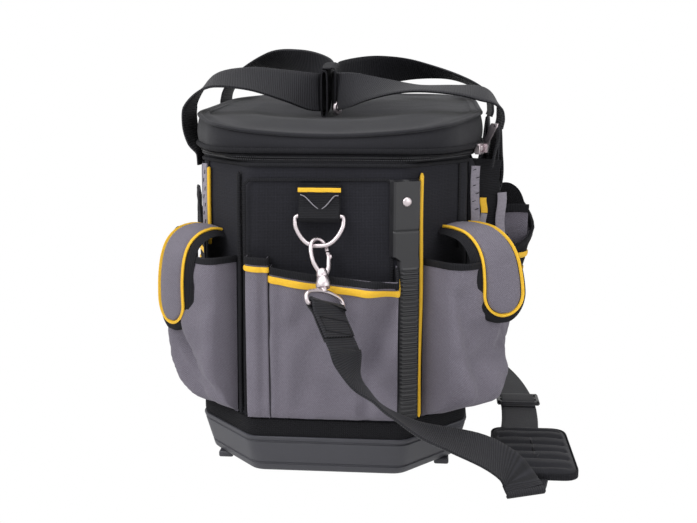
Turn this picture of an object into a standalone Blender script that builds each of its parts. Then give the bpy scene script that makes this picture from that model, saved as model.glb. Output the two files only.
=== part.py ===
"""Tool bag: eight-sided fabric body on a moulded base tray, with a zipped lid, two webbing
handles, flapped corner pockets, end pockets, side pouches and a clip-on shoulder strap.

Metres, +Z up. X runs across the bag, Y along it. The front end faces -Y.
The rear end is the front end turned by half a turn about Z.
"""
import math

import bmesh
import bpy
from mathutils import Matrix, Vector

# Overall plan of the base, an eight-sided shape
BASE_HALF_WIDTH = 0.1165
BASE_HALF_LENGTH = 0.2000
CUT_ACROSS = 0.0511
CUT_ALONG = 0.0566
CORNER_RADIUS = 0.008
CORNER_GROWTH_SHARE = 0.586
CORNER_STEPS = 3

# Clearance between pieces that touch
GAP = 0.0003

# Base tray
TRAY_WALL = 0.0030
TRAY_BOTTOM = 0.0060
TRAY_FLOOR = 0.0035
TRAY_RIM = 0.0420
TRAY_FLARE = 0.0095
TRAY_GROOVE = 0.0012
TRAY_LOWER_GROOVE = 0.0130
TRAY_UPPER_GROOVE = 0.0360
GROOVE_HEIGHT = 0.0025
FOOT_LENGTH = 0.030
FOOT_WIDTH = 0.014
FOOT_ROOT = 0.003

# Body walls
BODY_TOP = 0.2850
BODY_WALL = 0.0030
BODY_WIDEN = 0.0060
BODY_LEAN_IN = 0.0070
BODY_FLOOR = 0.0030
LINING_WALL = 0.0020
LINING_TOP_DROP = 0.0150
BOARD_THICKNESS = 0.0040
BAND_HEIGHT = 0.0150
BAND_THICKNESS = 0.0015

# Zip and lid
ZIP_HEIGHT = 0.0035
ZIP_WIDTH = 0.0120
LID_HALF_WIDTH = 0.1358
LID_HALF_LENGTH = 0.1900
LID_CUT_ACROSS = 0.0380
LID_CUT_ALONG = 0.0860
LID_BOTTOM = 0.2930
LID_SIDE_TOP = 0.3250
LID_CROWN = 0.0100
LID_END_DROP = 0.0090
LID_WALL = 0.0030
LID_ROOF = 0.0080
LID_EDGE_ROUND = 0.0080
LID_BOARD_INSET = 0.0120

# Zip slider and pull
SLIDER_THICKNESS = 0.0050
SLIDER_LENGTH = 0.0110
SLIDER_HEIGHT = 0.0080
SLIDER_START = 0.0060
PULL_THICKNESS = 0.0020
PULL_WIDTH = 0.0070
PULL_BELOW = 0.0040
PULL_LENGTH = 0.0260
PULL_LEAN = 0.0060
PULL_BEND_SHARE = 0.4

# Webbing
WEB_WIDTH = 0.038
WEB_THICKNESS = 0.0024

# Handles
HANDLE_Y = 0.088
GRIP_Z = 0.3585
GRIP_X = -0.0145
GRIP_SPLIT = 0.0040
RIGHT_PIVOT_X = 0.1570
RIGHT_PIVOT_Z = 0.3120
LEFT_PIVOT_X = -0.1310
LEFT_PIVOT_Z = 0.2740
ANCHOR_BOTTOM = 0.2340
WRAP_THICKNESS = 0.0016
WRAP_CLEARANCE = 0.0009

# End pockets
POCKET_BOTTOM = 0.0590
POCKET_WALL = 0.0020
MAIN_POCKET_LEFT = -0.0500
MAIN_POCKET_RIGHT = 0.0610
MAIN_POCKET_TOP_LEFT = 0.1950
MAIN_POCKET_TOP_RIGHT = 0.1800
MAIN_POCKET_MOUTH = 0.0160
MAIN_POCKET_FOOT = 0.0080
SMALL_POCKET_LEFT = -0.0710
SMALL_POCKET_TOP_LEFT = 0.2060
SMALL_POCKET_TOP_RIGHT = 0.2000
SMALL_POCKET_MOUTH = 0.0130
SMALL_POCKET_FOOT = 0.0070
POCKET_SPACING = 0.0012

# Corner pockets
CORNER_POCKET_START = 0.0230
CORNER_POCKET_END = 0.0930
CORNER_POCKET_DEPTH = 0.0460
CORNER_POCKET_FOOT = 0.0260
CORNER_POCKET_TOP = 0.2000
FLAP_WIDTH = 0.0500
FLAP_HINGE_Z = 0.2280
FLAP_STAND_OFF = 0.0065
FLAP_THICKNESS = 0.0040
FLAP_BOTTOM = 0.1450
FLAP_CORNER = 0.0120

# Side pouches
POUCH_START = 0.0550
POUCH_END = 0.2250
POUCH_DEPTH = 0.0540
POUCH_FOOT = 0.0300
POUCH_TOP = 0.1950
POUCH_DOME = 0.0480

# Corner moulding and piping
STRIP_FRONT = 0.0062
STRIP_SIDE = 0.0140
STRIP_FLAT = 0.0046
STRIP_THICKNESS = 0.0040
STRIP_BOTTOM = 0.0590
STRIP_TOP = 0.2720
STRIP_RIB = 0.0012
RIB_SPACING = 0.0070
RIB_TOP = 0.2020
RIVET_RADIUS = 0.0034
RIVET_HEIGHT = 0.0020
RIVET_Z = 0.2550
PIPING_RADIUS = 0.0020
PIPING_TOP = 0.2760

# Clip of the shoulder strap
RING_X = -0.0063
RING_WIRE = 0.0018
RING_HALF_WIDTH = 0.0197
RING_BAR_Z = 0.2400
RING_BAR_OUT = 0.0058
RING_DROP = 0.0250
RING_LEAN = math.radians(17.0)
TAB_HALF_WIDTH = 0.0165
TAB_TOP = 0.2680
HOOK_WIRE = 0.0019
HOOK_TURN = math.radians(46.0)
HOOK_LEAN_OUT = 0.0310
HOOK_LEAN_ACROSS = 0.0097
HOOK_DROP = 0.0500
EYE_WIRE = 0.0018
EYE_HALF_WIDTH = 0.0215
EYE_HEIGHT = 0.0130

# Shoulder pad
PAD_X = 0.1950
PAD_Y = -0.1310
PAD_WIDTH = 0.0780
PAD_LENGTH = 0.1300
PAD_THICKNESS = 0.0090
PAD_CORNER = 0.0150


for old in list(bpy.data.objects):
    bpy.data.objects.remove(old, do_unlink=True)

bag = bpy.data.collections.new("tool_bag")
bpy.context.scene.collection.children.link(bag)
cutters = bpy.data.collections.new("cutters")
bpy.context.scene.collection.children.link(cutters)


def material(name, colour, roughness, metallic=0.0):
    """A plain finish: linear colour, roughness and metallic value."""
    made = bpy.data.materials.new(name)
    made.use_nodes = True
    shader = made.node_tree.nodes["Principled BSDF"]
    shader.inputs["Base Color"].default_value = (*colour, 1.0)
    shader.inputs["Roughness"].default_value = roughness
    shader.inputs["Metallic"].default_value = metallic
    return made


BLACK_FABRIC = (0.020, 0.020, 0.024)
GREY_FABRIC = (0.180, 0.165, 0.200)
LID_FABRIC = (0.035, 0.035, 0.042)
YELLOW_TRIM = (0.880, 0.540, 0.030)
TRAY_PLASTIC = (0.070, 0.070, 0.078)
DARK_PLASTIC = (0.015, 0.015, 0.017)
WEBBING = (0.024, 0.024, 0.028)
NICKEL = (0.600, 0.540, 0.560)


def add_mesh(name, mesh, colour, roughness=0.8, metallic=0.0, smooth=True):
    """Put a finished mesh in the bag's collection under its own material."""
    made = bpy.data.objects.new(name, mesh)
    mesh.materials.append(material(name, colour, roughness, metallic))
    if smooth:
        mesh.shade_smooth()
        mesh.set_sharp_from_angle(angle=math.radians(35))
    bag.objects.link(made)
    return made


def turned(point, turn):
    """A point turned about Z, for the end or side it belongs to."""
    return Matrix.Rotation(turn, 4, "Z") @ Vector(point)


def arc_corner(before, corner, after, radius):
    """Three points that round one corner of an outline."""
    a = (Vector(before) - Vector(corner)).normalized() * radius
    b = (Vector(after) - Vector(corner)).normalized() * radius
    start = Vector(corner) + a
    end = Vector(corner) + b
    middle = (start + end) / 4 + Vector(corner) / 2
    return [start, middle, end]


def octagon(half_width, half_length, across, along, radius):
    """Plan of the bag at one height, counter-clockwise from the front left corner."""
    hx = half_width - across
    hy = half_length - along
    corners = [(-hx, -half_length), (hx, -half_length), (half_width, -hy), (half_width, hy),
               (hx, half_length), (-hx, half_length), (-half_width, hy), (-half_width, -hy)]
    points = []
    for i, corner in enumerate(corners):
        before = corners[i - 1]
        after = corners[(i + 1) % len(corners)]
        points += arc_corner(before, corner, after, radius)
    return points


def grown(offset, radius=CORNER_RADIUS):
    """The base plan moved outward by an offset, every wall by the same amount."""
    return octagon(BASE_HALF_WIDTH + offset, BASE_HALF_LENGTH + offset,
                   CUT_ACROSS + offset * CORNER_GROWTH_SHARE,
                   CUT_ALONG + offset * CORNER_GROWTH_SHARE, radius)


def body_sizes(z, offset=0.0):
    """Half width, half length and corner cuts of the fabric body at a height."""
    share = (z - TRAY_RIM) / (BODY_TOP - TRAY_RIM)
    widen = BODY_WIDEN
    lengthen = BODY_WIDEN - share * (BODY_WIDEN + BODY_LEAN_IN)
    if z < TRAY_RIM:
        below = (TRAY_RIM - z) / (TRAY_RIM - TRAY_BOTTOM)
        widen = BODY_WIDEN - below * TRAY_FLARE
        lengthen = widen
    return (BASE_HALF_WIDTH + widen + offset, BASE_HALF_LENGTH + lengthen + offset,
            CUT_ACROSS + (widen + offset) * CORNER_GROWTH_SHARE,
            CUT_ALONG + (widen + offset) * CORNER_GROWTH_SHARE)


def body_plan(z, offset=0.0):
    """The fabric body's outline at a height, moved outward by an offset."""
    return octagon(*body_sizes(z, offset), CORNER_RADIUS)


def spot(face, along, z, out):
    """A point on a wall: face 0 is the front, 1 the front right chamfer, and so on.

    along runs from the wall's first corner, counter-clockwise; out stands off the wall."""
    half_width, half_length, across, along_cut = body_sizes(z)
    hx = half_width - across
    hy = half_length - along_cut
    corners = [(-hx, -half_length), (hx, -half_length), (half_width, -hy), (half_width, hy),
               (hx, half_length), (-hx, half_length), (-half_width, hy), (-half_width, -hy)]
    start = Vector((*corners[face], z))
    end = Vector((*corners[(face + 1) % len(corners)], z))
    run = (end - start).normalized()
    outward = Vector((run.y, -run.x, 0.0))
    return start + run * along + outward * out


def front(x, z, out):
    """A point on the front wall by its x."""
    half_width, _, across, _ = body_sizes(z)
    return spot(0, x + half_width - across, z, out)


def loft(name, rings, colour, caps=True, roughness=0.8, metallic=0.0, smooth=True):
    """One closed skin through rings of equal length; open rings' ends are capped or joined."""
    bm = bmesh.new()
    rows = [[bm.verts.new(p) for p in ring] for ring in rings]
    count = len(rows[0])
    spans = len(rows) - 1 if caps else len(rows)
    for i in range(spans):
        low, high = rows[i], rows[(i + 1) % len(rows)]
        for j in range(count):
            k = (j + 1) % count
            bm.faces.new((low[j], low[k], high[k], high[j]))
    if caps:
        bm.faces.new(list(reversed(rows[0])))
        bm.faces.new(rows[-1])
    if bm.calc_volume(signed=True) < 0:
        bmesh.ops.reverse_faces(bm, faces=bm.faces)
    mesh = bpy.data.meshes.new(name)
    bm.to_mesh(mesh)
    bm.free()
    return add_mesh(name, mesh, colour, roughness, metallic, smooth)


def smooth_path(points, steps):
    """Points on a smooth curve through the given points."""
    points = [Vector(p) for p in points]
    ends = [2 * points[0] - points[1]] + points + [2 * points[-1] - points[-2]]
    made = []
    for i in range(1, len(ends) - 2):
        a, b, c, d = ends[i - 1:i + 3]
        for step in range(steps):
            t = step / steps
            made.append(((2 * b) + (c - a) * t + (2 * a - 5 * b + 4 * c - d) * t * t
                         + (3 * b - a - 3 * c + d) * t ** 3) / 2)
    made.append(points[-1])
    return made


def ribbon(name, path, across, colour=WEBBING, width=WEB_WIDTH, thickness=WEB_THICKNESS,
           roughness=0.8):
    """Flat webbing along a path; across gives the direction of its width at each point."""
    rings = []
    for i, point in enumerate(path):
        tangent = (path[min(i + 1, len(path) - 1)] - path[max(i - 1, 0)]).normalized()
        side = (across[i] - tangent * across[i].dot(tangent)).normalized()
        face = tangent.cross(side)
        w = side * width / 2
        h = face * thickness / 2
        rings.append([point - w - h, point + w - h, point + w + h, point - w + h])
    return loft(name, rings, colour, roughness=roughness, smooth=False)


def wire(name, points, radius, colour=NICKEL, cyclic=False, sides=3, metallic=1.0):
    """Round wire or piping through points."""
    curve = bpy.data.curves.new(name, "CURVE")
    curve.dimensions = "3D"
    curve.bevel_depth = radius
    curve.bevel_resolution = sides
    curve.use_fill_caps = True
    line = curve.splines.new("POLY")
    line.points.add(len(points) - 1)
    for target, point in zip(line.points, points):
        target.co = (*point, 1.0)
    line.use_cyclic_u = cyclic
    curve.materials.append(material(name, colour, 0.35, metallic))
    made = bpy.data.objects.new(name, curve)
    bag.objects.link(made)
    return made


def as_mesh(made):
    """Turn a curve object into a welded mesh object of the same name."""
    name = made.name
    evaluated = made.evaluated_get(bpy.context.evaluated_depsgraph_get())
    mesh = bpy.data.meshes.new_from_object(evaluated)
    bm = bmesh.new()
    bm.from_mesh(mesh)
    bmesh.ops.remove_doubles(bm, verts=bm.verts, dist=GAP / 30)
    bm.to_mesh(mesh)
    bm.free()
    matrix = made.matrix_world.copy()
    bpy.data.objects.remove(made, do_unlink=True)
    new = bpy.data.objects.new(name, mesh)
    new.matrix_world = matrix
    bag.objects.link(new)
    return new


def join(base, *others):
    """Fuse helper solids into a piece."""
    for other in others:
        for holder in list(other.users_collection):
            holder.objects.unlink(other)
        cutters.objects.link(other)
        other.hide_render = True
        other.display_type = "WIRE"
        fuse = base.modifiers.new("fuse_" + other.name, "BOOLEAN")
        fuse.operation = "UNION"
        fuse.object = other


def with_z(outline, height):
    """An outline's points at a height, which may be a number or a function of x and y."""
    if callable(height):
        return [Vector((p[0], p[1], height(p[0], p[1]))) for p in outline]
    return [Vector((p[0], p[1], height)) for p in outline]


def lid_plan(inset=0.0):
    """The lid's outline, moved inward."""
    return octagon(LID_HALF_WIDTH - inset, LID_HALF_LENGTH - inset,
                   LID_CUT_ACROSS - inset * CORNER_GROWTH_SHARE,
                   LID_CUT_ALONG - inset * CORNER_GROWTH_SHARE, CORNER_RADIUS)


def lid_height(x, y):
    """Height of the lid's top: lower at the two ends, crowned along the middle."""
    end_share = min(1.0, abs(y) / LID_HALF_LENGTH)
    side_share = min(1.0, abs(x) / LID_HALF_WIDTH)
    return LID_SIDE_TOP - LID_END_DROP * end_share ** 4 + LID_CROWN * (1 - side_share ** 2) * (1 - end_share ** 2)


def scaled(outline, share):
    """An outline drawn in toward the middle by a share."""
    return [(p[0] * share, p[1] * share) for p in outline]


def make_tray():
    """Moulded base tray: a bucket with two grooves round its wall, on four feet."""
    floor = TRAY_BOTTOM + TRAY_FLOOR
    heights = [(TRAY_BOTTOM, 0.0)]
    for groove in (TRAY_LOWER_GROOVE, TRAY_UPPER_GROOVE):
        for z, depth in ((groove, 0.0), (groove + GROOVE_HEIGHT / 4, TRAY_GROOVE),
                         (groove + GROOVE_HEIGHT * 3 / 4, TRAY_GROOVE), (groove + GROOVE_HEIGHT, 0.0)):
            heights.append((z, depth))
    heights.append((TRAY_RIM, 0.0))

    def flare(z):
        return TRAY_FLARE * (z - TRAY_BOTTOM) / (TRAY_RIM - TRAY_BOTTOM)

    rings = [with_z(grown(flare(z) - depth), z) for z, depth in heights]
    rings.append(with_z(grown(flare(TRAY_RIM) - TRAY_WALL), TRAY_RIM))
    rings.append(with_z(grown(flare(floor) - TRAY_WALL), floor))
    tray = loft("base_tray", rings, TRAY_PLASTIC, roughness=0.5)
    feet = []
    foot_y = BASE_HALF_LENGTH - CUT_ALONG
    foot_x = BASE_HALF_WIDTH - FOOT_WIDTH
    for i, (sx, sy) in enumerate(((-1, -1), (1, -1), (1, 1), (-1, 1))):
        bpy.ops.mesh.primitive_cube_add(size=1, location=(sx * foot_x, sy * foot_y,
                                                          (TRAY_BOTTOM + FOOT_ROOT) / 2))
        foot = bpy.context.object
        foot.name = f"foot_{i}"
        foot.scale = (FOOT_WIDTH, FOOT_LENGTH, TRAY_BOTTOM + FOOT_ROOT)
        feet.append(foot)
    join(tray, *feet)


def make_body():
    """Fabric body, its lining, the stiff bottom board and the band above the tray."""
    floor = TRAY_BOTTOM + TRAY_FLOOR + GAP
    heights = (floor, TRAY_RIM, (TRAY_RIM + BODY_TOP) / 2, BODY_TOP)
    rings = [with_z(body_plan(z, -GAP if z == floor else 0.0), z) for z in heights]
    inner = [with_z(body_plan(z, -BODY_WALL), z) for z in reversed(heights[1:])]
    inner.append(with_z(body_plan(floor + BODY_FLOOR, -BODY_WALL - GAP), floor + BODY_FLOOR))
    loft("body_shell", rings + inner, BLACK_FABRIC)

    lining_bottom = floor + BODY_FLOOR + GAP
    top = BODY_TOP - LINING_TOP_DROP
    outer = -BODY_WALL - GAP
    heights = (lining_bottom, TRAY_RIM, (TRAY_RIM + top) / 2, top)
    rings = [with_z(body_plan(z, outer - (GAP * 2 if z == lining_bottom else GAP)), z) for z in heights]
    board_top = lining_bottom + BOARD_THICKNESS
    inner = [with_z(body_plan(z, outer - LINING_WALL), z) for z in reversed(heights)]
    loft("wall_lining", rings + inner, GREY_FABRIC, caps=False)
    board = [with_z(body_plan(lining_bottom, outer - LINING_WALL - GAP * 2), z)
             for z in (lining_bottom, board_top)]
    loft("bottom_board", board, DARK_PLASTIC, roughness=0.5)

    low = TRAY_RIM + GAP
    band = []
    for z, offset in ((low, BAND_THICKNESS), (low + BAND_HEIGHT, BAND_THICKNESS),
                      (low + BAND_HEIGHT, 0.0), (low, 0.0)):
        band.append(with_z(body_plan(z, offset + GAP), z))
    loft("base_band", band, BLACK_FABRIC, caps=False)


def zip_line(offset):
    """Outline halfway between the body's top and the lid, where the teeth run."""
    body = body_plan(BODY_TOP, offset)
    lid = lid_plan(-offset)
    return [((b[0] + c[0]) / 2, (b[1] + c[1]) / 2) for b, c in zip(body, lid)]


def make_zip_and_lid():
    """Two zip tapes and the padded lid with its board."""
    lower = BODY_TOP + GAP
    upper = lower + ZIP_HEIGHT + GAP
    body_outer = body_plan(BODY_TOP, 0.0)
    outer = zip_line(0.0)
    body_inner = body_plan(BODY_TOP, -ZIP_WIDTH)
    inner = zip_line(-ZIP_WIDTH)
    loft("zip_tape_lower", [with_z(body_outer, lower), with_z(outer, lower + ZIP_HEIGHT),
                            with_z(inner, lower + ZIP_HEIGHT), with_z(body_inner, lower)],
         BLACK_FABRIC, caps=False)
    lid_low = lid_plan(0.0)
    lid_inner = lid_plan(ZIP_WIDTH)
    loft("zip_tape_upper", [with_z(outer, upper), with_z(lid_low, LID_BOTTOM - GAP),
                            with_z(lid_inner, LID_BOTTOM - GAP), with_z(inner, upper)],
         BLACK_FABRIC, caps=False)

    base = lid_plan(0.0)
    rings = [with_z(base, LID_BOTTOM)]
    rings.append(with_z(base, lambda x, y: lid_height(x, y) - LID_EDGE_ROUND))
    rings.append(with_z(lid_plan(LID_EDGE_ROUND * 0.3), lambda x, y: lid_height(x, y) - LID_EDGE_ROUND * 0.3))
    rings.append(with_z(lid_plan(LID_EDGE_ROUND), lid_height))
    top_shares = (0.75, 0.45, 0.15)
    for share in top_shares:
        rings.append(with_z(scaled(base, share), lid_height))
    roof = LID_ROOF
    under = []
    for share in reversed(top_shares):
        under.append(with_z(scaled(base, share), lambda x, y: lid_height(x, y) - roof))
    under.append(with_z(lid_plan(LID_EDGE_ROUND), lambda x, y: lid_height(x, y) - roof))
    under.append(with_z(lid_plan(LID_WALL), lambda x, y: lid_height(x, y) - roof - LID_WALL))
    under.append(with_z(lid_plan(LID_WALL), LID_BOTTOM))
    add_lid(rings, under)
    outline = lid_plan(LID_BOARD_INSET)
    board_z = min(lid_height(x, y) for x, y in outline) - LID_ROOF - GAP * 2
    loft("lid_board", [with_z(outline, board_z - BOARD_THICKNESS / 2), with_z(outline, board_z)],
         GREY_FABRIC, roughness=0.6)


def add_lid(rings, under):
    """The lid as one skin: outside to the crown, capped, and the hollow underside capped too."""
    bm = bmesh.new()
    outside = [[bm.verts.new(p) for p in ring] for ring in rings]
    inside = [[bm.verts.new(p) for p in ring] for ring in under]
    count = len(outside[0])
    for group in (outside, inside):
        for low, high in zip(group, group[1:]):
            for j in range(count):
                k = (j + 1) % count
                bm.faces.new((low[j], low[k], high[k], high[j]))
    for group, ring, lift in ((outside, outside[-1], 0.0), (inside, inside[0], LID_ROOF)):
        centre = bm.verts.new((0.0, 0.0, lid_height(0.0, 0.0) - lift))
        for j in range(count):
            bm.faces.new((ring[j], ring[(j + 1) % count], centre))
    first, last = outside[0], inside[-1]
    for j in range(count):
        k = (j + 1) % count
        bm.faces.new((first[j], first[k], last[k], last[j]))
    bmesh.ops.recalc_face_normals(bm, faces=bm.faces)
    mesh = bpy.data.meshes.new("lid_shell")
    bm.to_mesh(mesh)
    bm.free()
    add_mesh("lid_shell", mesh, LID_FABRIC)


def pouch(name, face, start, end, bottom, top, depth_at, wall, colour, turn, front_rise=0.0,
          heights=4, stand_off=GAP):
    """An open-topped pocket on a wall. top is a function of the share along the mouth.

    depth_at(share of height) gives how far the front stands off at its middle."""
    across_shares = (0.0, 0.0, 0.12, 0.35, 0.65, 0.88, 1.0, 1.0)
    depth_shares = (0.0, 0.62, 0.94, 1.0, 1.0, 0.94, 0.62, 0.0)

    def ring(share, inset, lift=0.0):
        points = []
        depth = depth_at(share)
        width = end - start
        for a, d in zip(across_shares, depth_shares):
            along = start + inset + a * (width - 2 * inset)
            z_top = top(a) + front_rise * d * math.sin(math.pi * a)
            z = bottom + lift + share * (z_top - bottom - lift)
            out = stand_off + (inset if d == 0.0 else 0.0) + d * (depth - inset * (0 if d == 0 else 1))
            points.append(turned(spot(face, along, z, out), turn))
        return points

    shares = [i / (heights - 1) for i in range(heights)]
    outside = [ring(s, 0.0) for s in shares]
    inside = [ring(s, wall, wall * (1 - s)) for s in reversed(shares)]
    return loft(name, outside + inside, colour)


def make_end_pockets(end, turn):
    """The small pocket at the left of the end and the main pocket beside it."""
    half_width, _, across, _ = body_sizes(POCKET_BOTTOM)
    middle = half_width - across

    def slope(left, right):
        return lambda share: left + (right - left) * share

    def main_depth(share):
        return MAIN_POCKET_FOOT + (MAIN_POCKET_MOUTH - MAIN_POCKET_FOOT) * math.sin(share * math.pi / 2)

    def small_depth(share):
        return SMALL_POCKET_FOOT + (SMALL_POCKET_MOUTH - SMALL_POCKET_FOOT) * math.sin(share * math.pi / 2)

    pouch(f"{end}_main_pocket", 0, middle + MAIN_POCKET_LEFT, middle + MAIN_POCKET_RIGHT, POCKET_BOTTOM,
          slope(MAIN_POCKET_TOP_LEFT, MAIN_POCKET_TOP_RIGHT), main_depth, POCKET_WALL, GREY_FABRIC, turn)
    pouch(f"{end}_small_pocket", 0, middle + SMALL_POCKET_LEFT,
          middle + MAIN_POCKET_LEFT - POCKET_SPACING, POCKET_BOTTOM,
          slope(SMALL_POCKET_TOP_LEFT, SMALL_POCKET_TOP_RIGHT), small_depth, POCKET_WALL, GREY_FABRIC, turn)


def chamfer_start(face, along):
    """Distance along a chamfer: the left one is read from its far end, so both are handed alike."""
    half_width, half_length, across, along_cut = body_sizes(CORNER_POCKET_TOP)
    length = math.hypot(across, along_cut)
    return along if face == 1 else length - along


def make_corner_pocket(name, face, turn):
    """A pocket on a chamfer with a stiff flap hanging over its mouth."""
    ends = sorted((chamfer_start(face, CORNER_POCKET_START), chamfer_start(face, CORNER_POCKET_END)))

    def depth(share):
        return CORNER_POCKET_FOOT + (CORNER_POCKET_DEPTH - CORNER_POCKET_FOOT) * math.sin(share * math.pi / 2)

    pouch(f"{name}_pocket", face, ends[0], ends[1], POCKET_BOTTOM, lambda share: CORNER_POCKET_TOP, depth,
          POCKET_WALL, GREY_FABRIC, turn, heights=5)
    middle = (ends[0] + ends[1]) / 2 + (FLAP_STAND_OFF if face == 1 else -FLAP_STAND_OFF)
    front_out = CORNER_POCKET_DEPTH + FLAP_STAND_OFF
    profile = [(GAP, FLAP_HINGE_Z), (front_out * 0.45, FLAP_HINGE_Z + 0.0),
               (front_out * 0.80, FLAP_HINGE_Z - FLAP_CORNER / 2),
               (front_out, FLAP_HINGE_Z - FLAP_CORNER * 2),
               (front_out + GAP, (FLAP_HINGE_Z + FLAP_BOTTOM) / 2),
               (front_out, FLAP_BOTTOM + FLAP_CORNER), (front_out - GAP, FLAP_BOTTOM)]
    width_shares = (0.86, 1.0, 1.0, 1.0, 1.0, 0.96, 0.62)
    rings = []
    for i, ((out, z), share) in enumerate(zip(profile, width_shares)):
        before = profile[max(i - 1, 0)]
        after = profile[min(i + 1, len(profile) - 1)]
        run = Vector((after[0] - before[0], after[1] - before[1])).normalized()
        side = Vector((-run.y, run.x)) * FLAP_THICKNESS / 2
        half = FLAP_WIDTH / 2 * share
        ring = []
        for across, up in ((-half, -1), (half, -1), (half, 1), (-half, 1)):
            ring.append(turned(spot(face, middle + across, z + side.y * up, 0.0)
                               + outward(face) * (out + side.x * up), turn))
        rings.append(ring)
    loft(f"{name}_flap", rings, GREY_FABRIC)


def outward(face):
    """The direction in which a wall faces."""
    a = spot(face, 0.0, BODY_TOP, 0.0)
    b = spot(face, 0.0, BODY_TOP, 1.0)
    return b - a


def make_side_pouch(side, turn):
    """The open pouch on the long side, its front rising in a dome."""
    def depth(share):
        return POUCH_FOOT + (POUCH_DEPTH - POUCH_FOOT) * math.sin(share * math.pi / 2)

    pouch(f"{side}_side_pouch", 2, POUCH_START, POUCH_END, POCKET_BOTTOM, lambda share: POUCH_TOP, depth,
          POCKET_WALL, GREY_FABRIC, turn, front_rise=POUCH_DOME, heights=5)


def make_trim(end, turn):
    """Moulded strip over the corner with its ribs, rivet and the two lines of piping."""
    half_width, _, across, _ = body_sizes(STRIP_BOTTOM)
    wall = 2 * (half_width - across)
    edges = ((0, wall - STRIP_FRONT), (0, wall - STRIP_FLAT), (1, STRIP_FLAT), (1, STRIP_SIDE))
    heights = [STRIP_BOTTOM]
    count = int((RIB_TOP - STRIP_BOTTOM) / RIB_SPACING)
    for i in range(count):
        base = STRIP_BOTTOM + RIB_SPACING * (i + 0.5)
        heights += [base, base + RIB_SPACING / 2]
    heights += [RIB_TOP + RIB_SPACING, STRIP_TOP]
    rings = []
    for i, z in enumerate(heights):
        raised = STRIP_RIB if 1 <= i < len(heights) - 2 and i % 2 == 0 else 0.0
        back = [turned(spot(f, a, z, GAP * 2), turn) for f, a in edges]
        fronts = [turned(spot(f, a, z, STRIP_THICKNESS + (raised if 0 < j < 3 else 0.0)), turn)
                  for j, (f, a) in enumerate(edges)]
        rings.append(back + list(reversed(fronts)))
    loft(f"{end}_corner_strip", rings, DARK_PLASTIC, roughness=0.5)

    corners = [spot(f, a, RIVET_Z, STRIP_THICKNESS + GAP) for f, a in edges[1:3]]
    centre = turned((corners[0] + corners[1]) / 2, turn)
    normal = turned((outward(0) + outward(1)).normalized(), turn)
    bm = bmesh.new()
    bmesh.ops.create_cone(bm, cap_ends=True, segments=16, radius1=RIVET_RADIUS,
                          radius2=RIVET_RADIUS * 0.7, depth=RIVET_HEIGHT)
    mesh = bpy.data.meshes.new(f"{end}_rivet")
    bm.to_mesh(mesh)
    bm.free()
    rivet = add_mesh(f"{end}_rivet", mesh, NICKEL, 0.3, 1.0)
    rivet.location = centre + normal * RIVET_HEIGHT / 2
    rivet.rotation_euler = normal.to_track_quat("Z", "Y").to_euler()

    out = PIPING_RADIUS + GAP * 3
    right = [turned(spot(1, 0.0175 + 0.0 * z, z, out), turn)
             for z in (POCKET_BOTTOM, 0.12, 0.2, PIPING_TOP)]
    left = [turned(spot(7, chamfer_start(7, 0.0145), z, out), turn)
            for z in (POCKET_BOTTOM, 0.12, 0.2, PIPING_TOP)]
    wire(f"{end}_piping_right", right, PIPING_RADIUS, YELLOW_TRIM, metallic=0.0)
    wire(f"{end}_piping_left", left, PIPING_RADIUS, YELLOW_TRIM, metallic=0.0)


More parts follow.
